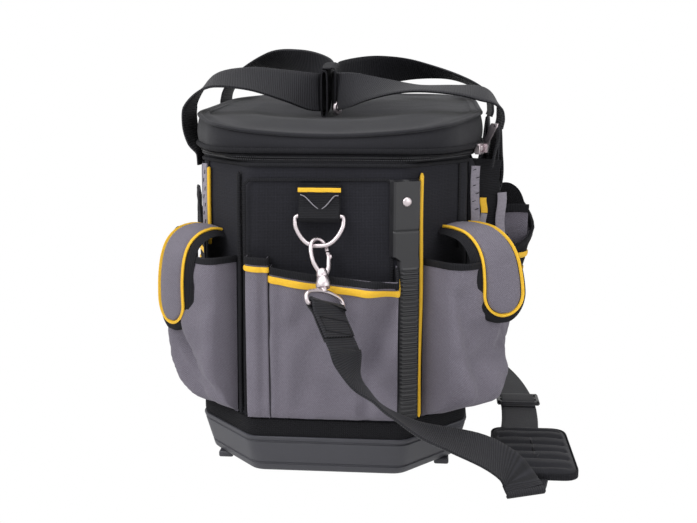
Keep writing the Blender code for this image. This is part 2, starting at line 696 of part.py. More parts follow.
def make_clip(end, turn):
    """Tab, D-ring, snap hook with its gate, swivel eye and the strap's sewn end."""
    bar_out = RING_BAR_OUT
    loop = RING_WIRE + GAP * 2 + WEB_THICKNESS / 2
    profile = [(WEB_THICKNESS / 2 + GAP, TAB_TOP), (WEB_THICKNESS / 2 + GAP, RING_BAR_Z + loop * 2)]
    for degrees in (180, 225, 270, 315, 360):
        angle = math.radians(degrees)
        profile.append((bar_out + loop * math.cos(angle), RING_BAR_Z + loop * math.sin(angle)))
    front_out = WEB_THICKNESS * 1.5 + GAP * 3
    profile += [(front_out + GAP * 2, RING_BAR_Z + loop * 2), (front_out, TAB_TOP - WEB_THICKNESS)]
    path = [turned(front(RING_X, z, out), turn) for out, z in profile]
    side = turned(Vector((1, 0, 0)), turn)
    ribbon(f"{end}_ring_tab", path, [side] * len(path), width=TAB_HALF_WIDTH * 2)

    def ring_point(x, drop):
        lean_out = bar_out + drop * math.sin(RING_LEAN)
        return turned(front(RING_X + x, RING_BAR_Z, 0.0) + outward(0) * lean_out
                      - Vector((0, 0, drop * math.cos(RING_LEAN))), turn)

    w = RING_HALF_WIDTH
    d = RING_DROP
    outline_shares = [(-1, 0), (-0.5, 0), (0.5, 0), (1, 0), (1.06, 0.2), (1, 0.42), (0.8, 0.7), (0.55, 0.9),
                      (0.25, 1.0), (-0.25, 1.0), (-0.55, 0.9), (-0.8, 0.7), (-1, 0.42), (-1.06, 0.2)]
    wire(f"{end}_d_ring", [ring_point(x * w, z * d) for x, z in outline_shares], RING_WIRE, cyclic=True)

    bottom = Vector(front(RING_X, RING_BAR_Z, 0.0)) + outward(0) * (bar_out + d * math.sin(RING_LEAN))
    bottom.z -= d * math.cos(RING_LEAN)
    down = (Vector((HOOK_LEAN_ACROSS, 0, -HOOK_DROP)) + outward(0) * HOOK_LEAN_OUT).normalized()
    flat = Vector((math.cos(HOOK_TURN), 0, 0)) - outward(0) * math.sin(HOOK_TURN)
    side = (flat - down * flat.dot(down)).normalized()
    depth = down.cross(side)

    def local(s, drop, off=0.0):
        return turned(bottom + side * s + down * drop + depth * off, turn)

    top = HOOK_WIRE + RING_WIRE + GAP * 2
    hook = [(0.0, 0.0290), (-0.0035, 0.0235), (-0.0078, 0.0150), (-0.0086, 0.0060), (-0.0074, -0.0008),
            (-0.0044, -0.0047), (0.0, -top - GAP * 2), (0.0044, -0.0047), (0.0074, -0.0008), (0.0084, 0.0040)]
    hook_wire = as_mesh(wire(f"{end}_hook", [local(s, z) for s, z in hook], HOOK_WIRE))
    barrel = bmesh.new()
    bmesh.ops.create_cone(barrel, cap_ends=True, segments=14, radius1=0.0062, radius2=0.0048, depth=0.0120)
    mesh = bpy.data.meshes.new(f"{end}_barrel")
    barrel.to_mesh(mesh)
    barrel.free()
    body = bpy.data.objects.new(f"{end}_barrel", mesh)
    bag.objects.link(body)
    body.location = local(0.0, 0.0340)
    body.rotation_euler = turned(-down, turn).to_track_quat("Z", "Y").to_euler()
    join(hook_wire, body)

    gate = [(0.0086, 0.0053), (0.0092, 0.0120), (0.0078, 0.0200), (0.0038, 0.0273)]
    wire(f"{end}_gate", [local(s, z) for s, z in gate], HOOK_WIRE * 0.7)

    eye_top = 0.0404
    hw = EYE_HALF_WIDTH
    eye_bottom = eye_top + EYE_HEIGHT
    eye_shares = [(-0.3, 0.0), (0.3, 0.0), (0.85, 0.25), (1.0, 0.6), (0.92, 1.0), (0.3, 1.0), (-0.3, 1.0),
                  (-0.92, 1.0), (-1.0, 0.6), (-0.85, 0.25)]
    eye = [local(a * hw, eye_top + b * (eye_bottom - eye_top) + EYE_WIRE) for a, b in eye_shares]
    wire(f"{end}_swivel_eye", eye, EYE_WIRE, cyclic=True)

    bar = eye_bottom + EYE_WIRE
    loop = EYE_WIRE + GAP * 2 + WEB_THICKNESS / 2
    layer = WEB_THICKNESS / 2 + GAP
    profile = [(-layer, bar + 0.0300), (-layer, bar + loop * 1.9)]
    for degrees in (180, 135, 90, 45, 0):
        angle = math.radians(degrees)
        profile.append((loop * math.cos(angle), bar - loop * math.sin(angle)))
    profile += [(layer, bar + loop * 1.9), (layer, bar + 0.0260)]
    path = [local(0.0, z, off) for off, z in profile]
    ribbon(f"{end}_strap_end", path, [turned(side, turn)] * len(path))
    return [local(0.0, bar + 0.0300 + GAP * 3, 0.0), turned(down, turn), turned(side, turn)]


def handle_path(points):
    """A handle's near half, mirrored to the far half, with the width's direction."""
    near = [Vector(p[:3]) for p in points]
    twist = [p[3] for p in points]
    far = [Vector((p.x, -p.y, p.z)) for p in reversed(near[:-1])]
    path = near + far
    twist = twist + list(reversed(twist[:-1]))
    signs = [1] * len(near) + [-1] * len(far)
    fine = smooth_path(path, 2)
    across = []
    for i in range(len(fine)):
        at = i / 2
        low = int(at)
        high = min(low + 1, len(path) - 1)
        amount = twist[low] + (twist[high] - twist[low]) * (at - low)
        angle = amount * math.pi / 2
        sign = signs[min(low, len(signs) - 1)]
        across.append(Vector((0.0, math.cos(angle), sign * math.sin(angle))))
    return fine, across


def make_handles():
    """Two webbing handles, standing up from the sides and meeting over the lid."""
    right = [(RIGHT_PIVOT_X, -HANDLE_Y, RIGHT_PIVOT_Z + GAP, 0.0),
             (RIGHT_PIVOT_X, -HANDLE_Y, RIGHT_PIVOT_Z + WEB_THICKNESS * 2, 0.0), (0.1545, -HANDLE_Y, 0.3330, 0.0),
             (0.1380, -HANDLE_Y, 0.3520, 0.05), (0.1080, -HANDLE_Y, 0.3640, 0.15),
             (0.0700, -0.0830, 0.3680, 0.35), (0.0330, -0.0680, 0.3660, 0.65),
             (0.0040, -0.0500, 0.3610, 0.92), (GRIP_X + GRIP_SPLIT, -0.0340, GRIP_Z, 1.0),
             (GRIP_X + GRIP_SPLIT, -0.0120, GRIP_Z, 1.0), (GRIP_X + GRIP_SPLIT, 0.0, GRIP_Z, 1.0)]
    left = [(LEFT_PIVOT_X, -HANDLE_Y, LEFT_PIVOT_Z + GAP, 0.0),
            (LEFT_PIVOT_X, -HANDLE_Y, LEFT_PIVOT_Z + WEB_THICKNESS * 2, 0.0), (-0.1440, -HANDLE_Y, 0.2960, 0.0),
            (-0.1500, -HANDLE_Y, 0.3200, 0.0), (-0.1460, -HANDLE_Y, 0.3430, 0.05),
            (-0.1200, -HANDLE_Y, 0.3600, 0.15), (-0.0850, -0.0830, 0.3680, 0.35),
            (-0.0520, -0.0680, 0.3660, 0.65), (-0.0300, -0.0500, 0.3610, 0.92),
            (GRIP_X - GRIP_SPLIT, -0.0340, GRIP_Z, 1.0),
            (GRIP_X - GRIP_SPLIT, -0.0120, GRIP_Z, 1.0), (GRIP_X - GRIP_SPLIT, 0.0, GRIP_Z, 1.0)]
    for name, points in (("handle_right", right), ("handle_left", left)):
        path, across = handle_path(points)
        ribbon(name, path, across)
    anchors = {"right": [(ANCHOR_BOTTOM, None), (0.2660, None), (0.2850, 0.1400), (0.3020, 0.1530),
                         (RIGHT_PIVOT_Z - WEB_THICKNESS * 2, RIGHT_PIVOT_X),
                         (RIGHT_PIVOT_Z - GAP, RIGHT_PIVOT_X)],
               "left": [(ANCHOR_BOTTOM, None), (0.2560, None),
                        (LEFT_PIVOT_Z - WEB_THICKNESS * 2, -LEFT_PIVOT_X),
                        (LEFT_PIVOT_Z - GAP, -LEFT_PIVOT_X)]}
    for side, profile in anchors.items():
        sign = 1 if side == "right" else -1
        for place, y in (("front", -HANDLE_Y), ("rear", HANDLE_Y)):
            path = []
            for z, x in profile:
                if x is None:
                    x = body_sizes(z)[0] + WEB_THICKNESS / 2 + GAP
                path.append(Vector((sign * x, y, z)))
            ribbon(f"handle_leg_{side}_{place}", path, [Vector((0, 1, 0))] * len(path))


def box_ring(name, x0, x1, y0, y1, z0, z1, wall, colour):
    """A sleeve round webbing that runs along Y."""
    rings = []
    for y, grow in ((y0, 0.0), (y1, 0.0), (y1, -wall), (y0, -wall)):
        rings.append([Vector((x0 - grow, y, z0 - grow)), Vector((x1 + grow, y, z0 - grow)),
                      Vector((x1 + grow, y, z1 + grow)), Vector((x0 - grow, y, z1 + grow))])
    return loft(name, rings, colour, caps=False, smooth=False)


def make_wrap():
    """Sleeve on the left grip and the flap that closes over the right grip."""
    half = WEB_THICKNESS / 2 + WRAP_CLEARANCE + WRAP_THICKNESS
    centre = GRIP_X - GRIP_SPLIT
    tall = WEB_WIDTH / 2 + WRAP_CLEARANCE
    y = 0.0180
    box_ring("grip_wrap", centre - half, centre + half, -y, y,
             GRIP_Z - tall - WRAP_THICKNESS, GRIP_Z + tall + WRAP_THICKNESS, WRAP_THICKNESS, BLACK_FABRIC)
    right = GRIP_X + GRIP_SPLIT + half
    top = GRIP_Z + tall + WRAP_THICKNESS + GAP
    rings = []
    t = WRAP_THICKNESS
    outline = [(centre - half, top), (right - t, top), (right - t, GRIP_Z - WEB_WIDTH / 4),
               (right, GRIP_Z - WEB_WIDTH / 4), (right, top + t), (centre - half, top + t)]
    for side in (-y, y):
        rings.append([Vector((x, side, z)) for x, z in outline])
    loft("wrap_flap", rings, BLACK_FABRIC, smooth=False)


def make_slider():
    """Zip slider at the right corner, with its pull."""
    outlines = [body_plan(BODY_TOP), zip_line(0.0), lid_plan()]
    corners = [Vector((*outline[CORNER_STEPS * 2], 0.0)) for outline in outlines]
    fronts = [Vector((*outline[CORNER_STEPS * 2 - 1], 0.0)) for outline in outlines]
    run = (fronts[2] - corners[2]).normalized()
    out = Vector((-run.y, run.x, 0.0))
    face = max(corner.dot(out) for corner in corners + fronts)
    along = corners[2].dot(run) + SLIDER_START
    middle = out * face + run * along + Vector((0, 0, LID_BOTTOM - GAP * 2))
    half = SLIDER_THICKNESS / 2

    bm = bmesh.new()
    bmesh.ops.create_cube(bm, size=1.0)
    mesh = bpy.data.meshes.new("zip_slider")
    bm.to_mesh(mesh)
    bm.free()
    made = add_mesh("zip_slider", mesh, NICKEL, 0.3, 1.0, smooth=False)
    made.scale = (SLIDER_THICKNESS, SLIDER_LENGTH, SLIDER_HEIGHT)
    made.location = middle + out * (half + GAP)
    made.rotation_euler = out.to_track_quat("X", "Z").to_euler()

    base = middle + out * (half * 2 + GAP * 2 + PULL_THICKNESS / 2)
    up = Vector((0, 0, 1))
    path = [base - up * PULL_BELOW, base + up * PULL_LENGTH * PULL_BEND_SHARE + out * PULL_LEAN / 3,
            base + up * PULL_LENGTH + out * PULL_LEAN]
    ribbon("zip_pull", path, [run] * 3, colour=NICKEL, width=PULL_WIDTH, thickness=PULL_THICKNESS,
           roughness=0.3)


def make_strap(clip_front, clip_rear):
    """The shoulder strap's free stretches, its buckle and the pad, as they lie."""
    start, down, side = clip_front
    clear = Vector((0, 0, GAP))
    points = [start, start + down * 0.008, start + down * 0.016, Vector((0.0195, -0.2660, 0.1080)),
              Vector((0.0330, -0.2670, 0.0800)), Vector((0.0560, -0.2640, 0.0560)),
              Vector((0.0860, -0.2560, 0.0400)), Vector((0.1150, -0.2420, 0.0260)),
              Vector((0.1420, -0.2310, 0.0165)), Vector((0.1620, -0.2240, 0.0140))]
    widths = [side, side, side, Vector((0.55, 0.75, 0.25)), Vector((0.45, 0.75, 0.45)), Vector((0.35, 0.70, 0.60)),
              Vector((0.25, 0.75, 0.55)), Vector((0.15, 0.90, 0.30)), Vector((0.10, 1.0, 0.08)),
              Vector((0.05, 1.0, 0.0))]
    fine = smooth_path(points, 3)
    across = blend_widths(widths, 3, len(fine))
    ribbon("strap_front_run", fine, across)

    floor = WEB_THICKNESS / 2 + GAP
    pad_front = PAD_Y - PAD_LENGTH / 2
    path = [Vector((PAD_X - 0.018, pad_front - 0.040, floor)), Vector((PAD_X - 0.018, pad_front - GAP, floor))]
    ribbon("strap_fold", path, [Vector((1, 0, 0))] * 2)

    pad_rear = PAD_Y + PAD_LENGTH / 2
    start, down, side = clip_rear
    points = [Vector((PAD_X - 0.010, pad_rear + GAP, floor)), Vector((0.1860, -0.0300, floor)),
              Vector((0.1880, 0.0300, floor)), Vector((0.1900, 0.1000, floor)),
              Vector((0.1800, 0.1800, floor)), Vector((0.1400, 0.2360, 0.0060)),
              Vector((0.0800, 0.2560, 0.0300)), Vector((0.0300, 0.2560, 0.0700)),
              start + down * 0.016, start + down * 0.008, start]
    widths = [Vector((1, 0, 0)), Vector((1, 0, 0)), Vector((1, 0, 0)), Vector((1, 0.1, 0)),
              Vector((0.9, 0.4, 0)), Vector((0.5, 0.9, 0.1)), Vector((0.1, 0.8, 0.5)),
              Vector((0.2, 0.8, 0.5)), -side, -side, -side]
    fine = smooth_path(points, 3)
    across = blend_widths(widths, 3, len(fine))
    ribbon("strap_rear_run", fine, across)

    rings = []
    for z, inset in ((0.0, 0.003), (PAD_THICKNESS * 0.4, 0.0), (PAD_THICKNESS * 0.7, 0.0),
                     (PAD_THICKNESS, 0.004)):
        w = PAD_WIDTH / 2 - inset
        h = PAD_LENGTH / 2 - inset
        corners = [(-w, -h), (w, -h), (w, h), (-w, h)]
        ring = []
        for i, corner in enumerate(corners):
            ring += arc_corner(corners[i - 1], corner, corners[(i + 1) % 4], PAD_CORNER)
        rings.append([Vector((PAD_X + p[0], PAD_Y + p[1], z + GAP)) for p in ring])
    loft("shoulder_pad", rings, BLACK_FABRIC)

    bm = bmesh.new()
    bmesh.ops.create_cube(bm, size=1.0)
    mesh = bpy.data.meshes.new("slider_buckle")
    bm.to_mesh(mesh)
    bm.free()
    buckle = add_mesh("slider_buckle", mesh, DARK_PLASTIC, 0.4, smooth=False)
    buckle.scale = (0.0460, 0.0300, 0.0040)
    buckle.location = (0.1875, 0.0200, WEB_THICKNESS + GAP * 2 + 0.0021)


def blend_widths(widths, steps, count):
    """Width directions between the given ones."""
    made = []
    for i in range(count):
        at = i / steps
        low = min(int(at), len(widths) - 1)
        high = min(low + 1, len(widths) - 1)
        a = widths[low].normalized()
        b = widths[high].normalized()
        made.append((a + (b - a) * (at - low)).normalized())
    return made


make_tray()
make_body()
make_zip_and_lid()
make_handles()
make_wrap()
make_slider()
clips = []
for end_name, end_turn in (("front", 0.0), ("rear", math.pi)):
    make_end_pockets(end_name, end_turn)
    make_trim(end_name, end_turn)
    right_name, left_name = ("right", "left") if end_name == "front" else ("left", "right")
    make_corner_pocket(f"{end_name}_{right_name}", 1, end_turn)
    make_corner_pocket(f"{end_name}_{left_name}", 7, end_turn)
    make_side_pouch(right_name, end_turn)
    clips.append(make_clip(end_name, end_turn))
make_strap(*clips)
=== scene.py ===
"""Looks of the tool bag: fabric shells, pockets, webbing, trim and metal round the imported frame.

Metres, +Z up. X runs across the bag, Y along it, and the front end faces -Y.
The rear end repeats the front end, turned by half a turn about Z.
"""
import math

import bmesh
import bpy
from mathutils import Matrix, Vector, noise


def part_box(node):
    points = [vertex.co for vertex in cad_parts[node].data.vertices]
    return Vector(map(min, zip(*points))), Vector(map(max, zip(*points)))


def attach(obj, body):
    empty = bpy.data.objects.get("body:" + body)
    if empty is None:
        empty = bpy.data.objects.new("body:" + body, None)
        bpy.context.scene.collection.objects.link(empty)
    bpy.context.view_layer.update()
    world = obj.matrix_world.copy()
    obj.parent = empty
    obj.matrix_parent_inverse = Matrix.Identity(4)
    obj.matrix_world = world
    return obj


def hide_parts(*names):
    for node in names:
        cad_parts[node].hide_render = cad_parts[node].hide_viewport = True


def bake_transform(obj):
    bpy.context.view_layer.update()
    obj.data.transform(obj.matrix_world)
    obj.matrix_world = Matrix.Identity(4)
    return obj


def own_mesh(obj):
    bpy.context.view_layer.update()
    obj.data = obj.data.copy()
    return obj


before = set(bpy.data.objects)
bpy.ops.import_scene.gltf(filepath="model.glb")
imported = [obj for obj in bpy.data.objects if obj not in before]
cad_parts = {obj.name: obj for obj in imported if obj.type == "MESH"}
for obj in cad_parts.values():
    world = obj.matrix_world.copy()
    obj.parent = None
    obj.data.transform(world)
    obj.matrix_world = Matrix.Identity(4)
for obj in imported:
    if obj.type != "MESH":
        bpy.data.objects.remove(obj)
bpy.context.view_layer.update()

# Camera: the photograph's own view, fitted to the bag's base, rim and corners
IMAGE_WIDTH = 697
FOCAL_PIXELS = 1000.9
CAMERA_PLACE = (0.0908, -1.0478, 0.3697)
CAMERA_YAW = 0.0848
CAMERA_PITCH = 0.1957
SENSOR_WIDTH = 36.0

# The eight-sided plan and the walls that every soft piece follows
BASE_HALF_WIDTH = 0.1165
BASE_HALF_LENGTH = 0.2000
CUT_ACROSS = 0.0511
CUT_ALONG = 0.0566
CORNER_GROWTH = 0.586
CORNER_RADIUS = 0.008
TRAY_RIM = 0.0420
TRAY_BOTTOM = 0.0060
TRAY_FLARE = 0.0095
BODY_TOP = 0.2850
BODY_WIDEN = 0.0060
BODY_LEAN_IN = 0.0070
POCKET_BOTTOM = 0.0590
POCKET_WALL = 0.0013
GAP = 0.0003
WELD = GAP / 100

# Lid
LID_HALF_WIDTH = 0.1358
LID_HALF_LENGTH = 0.1900
LID_CUT_ACROSS = 0.0380
LID_CUT_ALONG = 0.0860
LID_BOTTOM = 0.2930
LID_MIDDLE = 0.3275
LID_SLOPE = 0.0285
LID_CORNER_DROP = 0.0046
LID_FRONT_SAG = 0.0070
LID_DISH = 0.0100
LID_SAG_START, LID_SAG_RUN, LID_SAG_HALF = -0.100, 0.090, 0.098
DISH_X, DISH_Y, DISH_ACROSS, DISH_ALONG = -0.012, -0.060, 0.080, 0.078
LID_ROUND = 0.034

# Webbing
WEB_WIDTH = 0.038
WEB_THICKNESS = 0.0024

UP = Vector((0, 0, 1))
WALL_STEPS = (20, 12, 44, 12, 20, 12, 44, 12)
ARC_STEPS = 5


def linear(hex_colour):
    """An sRGB hex colour as the linear values that a shader takes."""
    parts = [int(hex_colour[i:i + 2], 16) / 255 for i in (1, 3, 5)]
    return (*[c / 12.92 if c <= 0.04045 else ((c + 0.055) / 1.055) ** 2.4 for c in parts], 1.0)


def add(tree, kind, links=None, **settings):
    """Add a shader node: settings fill its fields or its sockets, links join its sockets."""
    made = tree.nodes.new(kind)
    for key, value in settings.items():
        if hasattr(made, key):
            setattr(made, key, value)
        else:
            made.inputs[key.replace("_", " ")].default_value = value
    for key, source in (links or {}).items():
        tree.links.new(source, made.inputs[key])
    return made


def new_finish(name, roughness, metallic=0.0, **sockets):
    """A material with its Principled shader, whose plain values are set on the shader itself."""
    made = bpy.data.materials.new(name)
    made.use_nodes = True
    shader = made.node_tree.nodes["Principled BSDF"]
    shader.inputs["Roughness"].default_value = roughness
    shader.inputs["Metallic"].default_value = metallic
    for key, value in sockets.items():
        shader.inputs[key.replace("_", " ")].default_value = value
    return made, made.node_tree, shader


# Cloth reflects less than smooth plastic, because its threads shade one another
CLOTH_SPECULAR = 0.22


def cloth_finish(name, dark, light, pitch, roughness, slant=0.0, bump=0.5, ribs=0.0, grid=0.0,
                 sheen=0.0, fade=0.30, level=0.35):
    """Woven cloth: threads at their pitch in mm, run by the cloth's own layout in metres.

    slant turns the threads for a twill; ribs draws only cross ribs; grid adds the heavier
    threads of a ripstop at that pitch in mm. fade is how far colour drifts over the cloth, and
    level how much of the light colour it has."""
    made, tree, shader = new_finish(name, roughness, Sheen_Weight=sheen, Specular_IOR_Level=CLOTH_SPECULAR)
    place = add(tree, "ShaderNodeTexCoord")
    turned_place = add(tree, "ShaderNodeMapping", {"Vector": place.outputs["UV"]},
                       Rotation=(0, 0, slant), Scale=(1000 / pitch, 1000 / pitch, 1))
    weft = add(tree, "ShaderNodeTexWave", {"Vector": turned_place.outputs["Vector"]},
               bands_direction="X", Scale=0.314, Distortion=0.4, Detail=1.0)
    heights = weft.outputs["Fac"]
    if not ribs:
        warp = add(tree, "ShaderNodeTexWave", {"Vector": turned_place.outputs["Vector"]},
                   bands_direction="Y", Scale=0.314, Distortion=0.4, Detail=1.0)
        heights = add(tree, "ShaderNodeMath", {0: weft.outputs["Fac"], 1: warp.outputs["Fac"]},
                      operation="MULTIPLY").outputs[0]
    if grid:
        squares = add(tree, "ShaderNodeTexBrick", {"Vector": place.outputs["UV"]}, offset=0.0,
                      Scale=1000 / grid, Mortar_Size=0.055, Brick_Width=1.0, Row_Height=1.0,
                      Mortar_Smooth=0.6)
        heights = add(tree, "ShaderNodeMath", {0: squares.outputs["Fac"], 2: heights},
                      operation="MULTIPLY_ADD")
        heights.inputs[1].default_value = 0.35
        heights = heights.outputs[0]
    wear = add(tree, "ShaderNodeTexNoise", {"Vector": place.outputs["Object"]}, Scale=14.0,
               Detail=4.0, Roughness=0.6)
    speck = add(tree, "ShaderNodeTexNoise", {"Vector": place.outputs["UV"]}, Scale=620.0, Detail=2.0)
    soft = add(tree, "ShaderNodeMath", {0: wear.outputs["Fac"]}, operation="MULTIPLY_ADD")
    soft.inputs[1].default_value = fade * 2
    soft.inputs[2].default_value = level - fade - 0.25 - (0.25 if ribs else 0.125)
    grain = add(tree, "ShaderNodeMath", {0: speck.outputs["Fac"], 2: soft.outputs[0]},
                operation="MULTIPLY_ADD")
    grain.inputs[1].default_value = 0.5
    amount = add(tree, "ShaderNodeMath", {0: heights, 2: grain.outputs[0]}, operation="MULTIPLY_ADD",
                 use_clamp=True)
    amount.inputs[1].default_value = 0.5
    ramp = add(tree, "ShaderNodeMix", {"Factor": amount.outputs[0]}, data_type="RGBA")
    ramp.inputs[6].default_value = linear(dark)
    ramp.inputs[7].default_value = linear(light)
    tree.links.new(ramp.outputs[2], shader.inputs["Base Color"])
    raised = add(tree, "ShaderNodeMath", {0: speck.outputs["Fac"], 2: heights}, operation="MULTIPLY_ADD")
    raised.inputs[1].default_value = 0.5
    relief = add(tree, "ShaderNodeBump", {"Height": raised.outputs[0]}, Strength=bump, Distance=0.0004)
    tree.links.new(relief.outputs["Normal"], shader.inputs["Normal"])
    return made


def plastic_finish(name, dark, light, grain, roughness, bump=0.3):
    """Moulded plastic: the mould's spark-eroded grain, in mm, and slight scuffs."""
    made, tree, shader = new_finish(name, roughness)
    place = add(tree, "ShaderNodeTexCoord")
    pits = add(tree, "ShaderNodeTexNoise", {"Vector": place.outputs["Object"]}, Scale=1000 / grain,
               Detail=2.0)
    scuffs = add(tree, "ShaderNodeTexNoise", {"Vector": place.outputs["Object"]}, Scale=22.0,
                 Detail=6.0, Roughness=0.7)
    ramp = add(tree, "ShaderNodeMix", {"Factor": scuffs.outputs["Fac"]}, data_type="RGBA")
    ramp.inputs[6].default_value = linear(dark)
    ramp.inputs[7].default_value = linear(light)
    tree.links.new(ramp.outputs[2], shader.inputs["Base Color"])
    shine = add(tree, "ShaderNodeMapRange", {"Value": scuffs.outputs["Fac"]})
    shine.inputs["To Min"].default_value = roughness - 0.08
    shine.inputs["To Max"].default_value = roughness + 0.12
    tree.links.new(shine.outputs["Result"], shader.inputs["Roughness"])
    relief = add(tree, "ShaderNodeBump", {"Height": pits.outputs["Fac"]}, Strength=bump, Distance=0.0002)
    tree.links.new(relief.outputs["Normal"], shader.inputs["Normal"])
    return made


def metal_finish(name, colour, worn, roughness):
    """Plated metal: a smooth plate with duller patches."""
    made, tree, shader = new_finish(name, roughness, metallic=1.0)
    place = add(tree, "ShaderNodeTexCoord")
    patches = add(tree, "ShaderNodeTexNoise", {"Vector": place.outputs["Object"]}, Scale=160.0,
                  Detail=3.0)
    ramp = add(tree, "ShaderNodeMix", {"Factor": patches.outputs["Fac"]}, data_type="RGBA")
    ramp.inputs[6].default_value = linear(colour)
    ramp.inputs[7].default_value = linear(worn)
    tree.links.new(ramp.outputs[2], shader.inputs["Base Color"])
    shine = add(tree, "ShaderNodeMapRange", {"Value": patches.outputs["Fac"]})
    shine.inputs["To Min"].default_value = roughness - 0.06
    shine.inputs["To Max"].default_value = roughness + 0.14
    tree.links.new(shine.outputs["Result"], shader.inputs["Roughness"])
    return made


# Black 600-denier polyester with ripstop squares, the bag's walls: matt, a faint grid
ripstop = cloth_finish("black_ripstop_polyester", "#0D0D11", "#2B2B33", 1.3, 0.85, grid=4.2, bump=0.25,
                       sheen=0.04)
# Black oxford polyester over foam, the lid: fine, a little lighter where light grazes it
oxford = cloth_finish("black_oxford_polyester", "#101014", "#2A2A30", 1.1, 0.78, bump=0.3, sheen=0.08)
# Grey 600-denier polyester, the pockets: a visible slanted weave
grey_cloth = cloth_finish("grey_polyester", "#46434B", "#85808C", 1.3, 0.88, slant=0.6, bump=0.6,
                          sheen=0.08, level=0.55, fade=0.22)
# Yellow woven tape, folded and sewn as piping: dense, slightly glossy
yellow_tape = cloth_finish("yellow_polyester_tape", "#D09A14", "#F7C941", 0.9, 0.6, bump=0.35, fade=0.15,
                           level=0.6)
# Black grosgrain binding tape: ribs across its length
binding = cloth_finish("black_grosgrain_tape", "#0C0C0F", "#242429", 1.5, 0.82, ribs=1.0, bump=0.7)
# Black nylon webbing: strong cross ribs, a soft sheen
webbing = cloth_finish("black_nylon_webbing", "#0B0B0E", "#2B2B31", 2.2, 0.66, ribs=1.0, bump=0.9,
                       sheen=0.06, level=0.4)
# Black coarse polyester, the band above the tray: rough and hairy
coarse = cloth_finish("black_coarse_polyester", "#09090B", "#222226", 1.9, 0.95, bump=1.0)
# Grey nylon lining, inside the bag: thin and smooth
lining = cloth_finish("grey_nylon_lining", "#4B4A50", "#6C6A72", 0.9, 0.6, bump=0.25)
# Polypropylene, injection moulded with a matt grain: the tray
tray_plastic = plastic_finish("polypropylene_tray", "#2F2F35", "#414148", 0.6, 0.48)
# ABS, injection moulded in satin black: corner strips and the strap's buckle
black_abs = plastic_finish("black_abs", "#111114", "#1F1F23", 0.5, 0.38)
# Nickel plate on zinc and steel wire: bright, faintly warm
nickel = metal_finish("nickel_plate", "#DDD4D7", "#BDB2B6", 0.32)
# Polyacetal zip coil: black, smooth
zip_coil = plastic_finish("polyacetal_zip_coil", "#18181B", "#333338", 0.4, 0.35, bump=0.1)
# Hardboard stiffener in the bag
board = plastic_finish("fibre_board", "#26221F", "#3A342F", 1.5, 0.8)
# Grey woven tape, sewn down the panel's edge
grey_tape = cloth_finish("grey_polyester_tape", "#6A6670", "#A5A0AA", 1.2, 0.8, ribs=1.0, bump=0.5, level=0.5)
# White thread, where stitches show; the pale line along the tab's fold, a painted highlight, uses it too
thread = cloth_finish("pale_sewing_thread", "#77747C", "#A9A6AE", 0.6, 0.8, bump=0.2)


def octagon(half_width, half_length, across, along):
    """The plan's eight corners, counter-clockwise from the front left."""
    hx = half_width - across
    hy = half_length - along
    return [Vector(c) for c in ((-hx, -half_length), (hx, -half_length), (half_width, -hy),
                                (half_width, hy), (hx, half_length), (-hx, half_length),
                                (-half_width, hy), (-half_width, -hy))]


def rounded(corners, radius=CORNER_RADIUS, steps=WALL_STEPS, arc_steps=ARC_STEPS):
    """A plan with round corners, its walls divided so that every height has as many points."""
    points = []
    count = len(corners)
    for i, corner in enumerate(corners):
        after = corners[(i + 1) % count]
        start = corner + (corners[i - 1] - corner).normalized() * radius
        end = corner + (after - corner).normalized() * radius
        for k in range(arc_steps + 1):
            t = k / arc_steps
            points.append(start * (1 - t) ** 2 + corner * 2 * t * (1 - t) + end * t * t)
        wall_end = after + (corner - after).normalized() * radius
        points += [end.lerp(wall_end, k / steps[i]) for k in range(1, steps[i])]
    return points


def body_sizes(z, offset=0.0):
    """Half width, half length and corner cuts of the fabric body at a height."""
    share = (z - TRAY_RIM) / (BODY_TOP - TRAY_RIM)
    widen = BODY_WIDEN
    lengthen = BODY_WIDEN - share * (BODY_WIDEN + BODY_LEAN_IN)
    if z < TRAY_RIM:
        widen = lengthen = BODY_WIDEN - (TRAY_RIM - z) / (TRAY_RIM - TRAY_BOTTOM) * TRAY_FLARE
    return (BASE_HALF_WIDTH + widen + offset, BASE_HALF_LENGTH + lengthen + offset,
            CUT_ACROSS + (widen + offset) * CORNER_GROWTH, CUT_ALONG + (widen + offset) * CORNER_GROWTH)


def tray_sizes(offset):
    """The tray's plan, moved outward from its bottom edge."""
    return (BASE_HALF_WIDTH + offset, BASE_HALF_LENGTH + offset,
            CUT_ACROSS + offset * CORNER_GROWTH, CUT_ALONG + offset * CORNER_GROWTH)


def lid_sizes(inset=0.0):
    """The lid's plan, moved inward."""
    return (LID_HALF_WIDTH - inset, LID_HALF_LENGTH - inset,
            LID_CUT_ACROSS - inset * CORNER_GROWTH, LID_CUT_ALONG - inset * CORNER_GROWTH)


def spot(face, along, z, out):
    """A point on a wall: face 0 is the front, 1 the front right chamfer, and so on."""
    corners = octagon(*body_sizes(z))
    start = corners[face]
    run = (corners[(face + 1) % 8] - start).normalized()
    flat = start + run * along + Vector((run.y, -run.x)) * out
    return Vector((flat.x, flat.y, z))


def outward(face):
    """The direction in which a wall faces."""
    return spot(face, 0.0, BODY_TOP, 1.0) - spot(face, 0.0, BODY_TOP, 0.0)


def wall_run(face):
    """The direction in which a wall runs."""
    return (spot(face, 1.0, BODY_TOP, 0.0) - spot(face, 0.0, BODY_TOP, 0.0)).normalized()


def front(x, z, out):
    """A point on the front wall by its x."""
    half_width, _, across, _ = body_sizes(z)
    return spot(0, x + half_width - across, z, out)


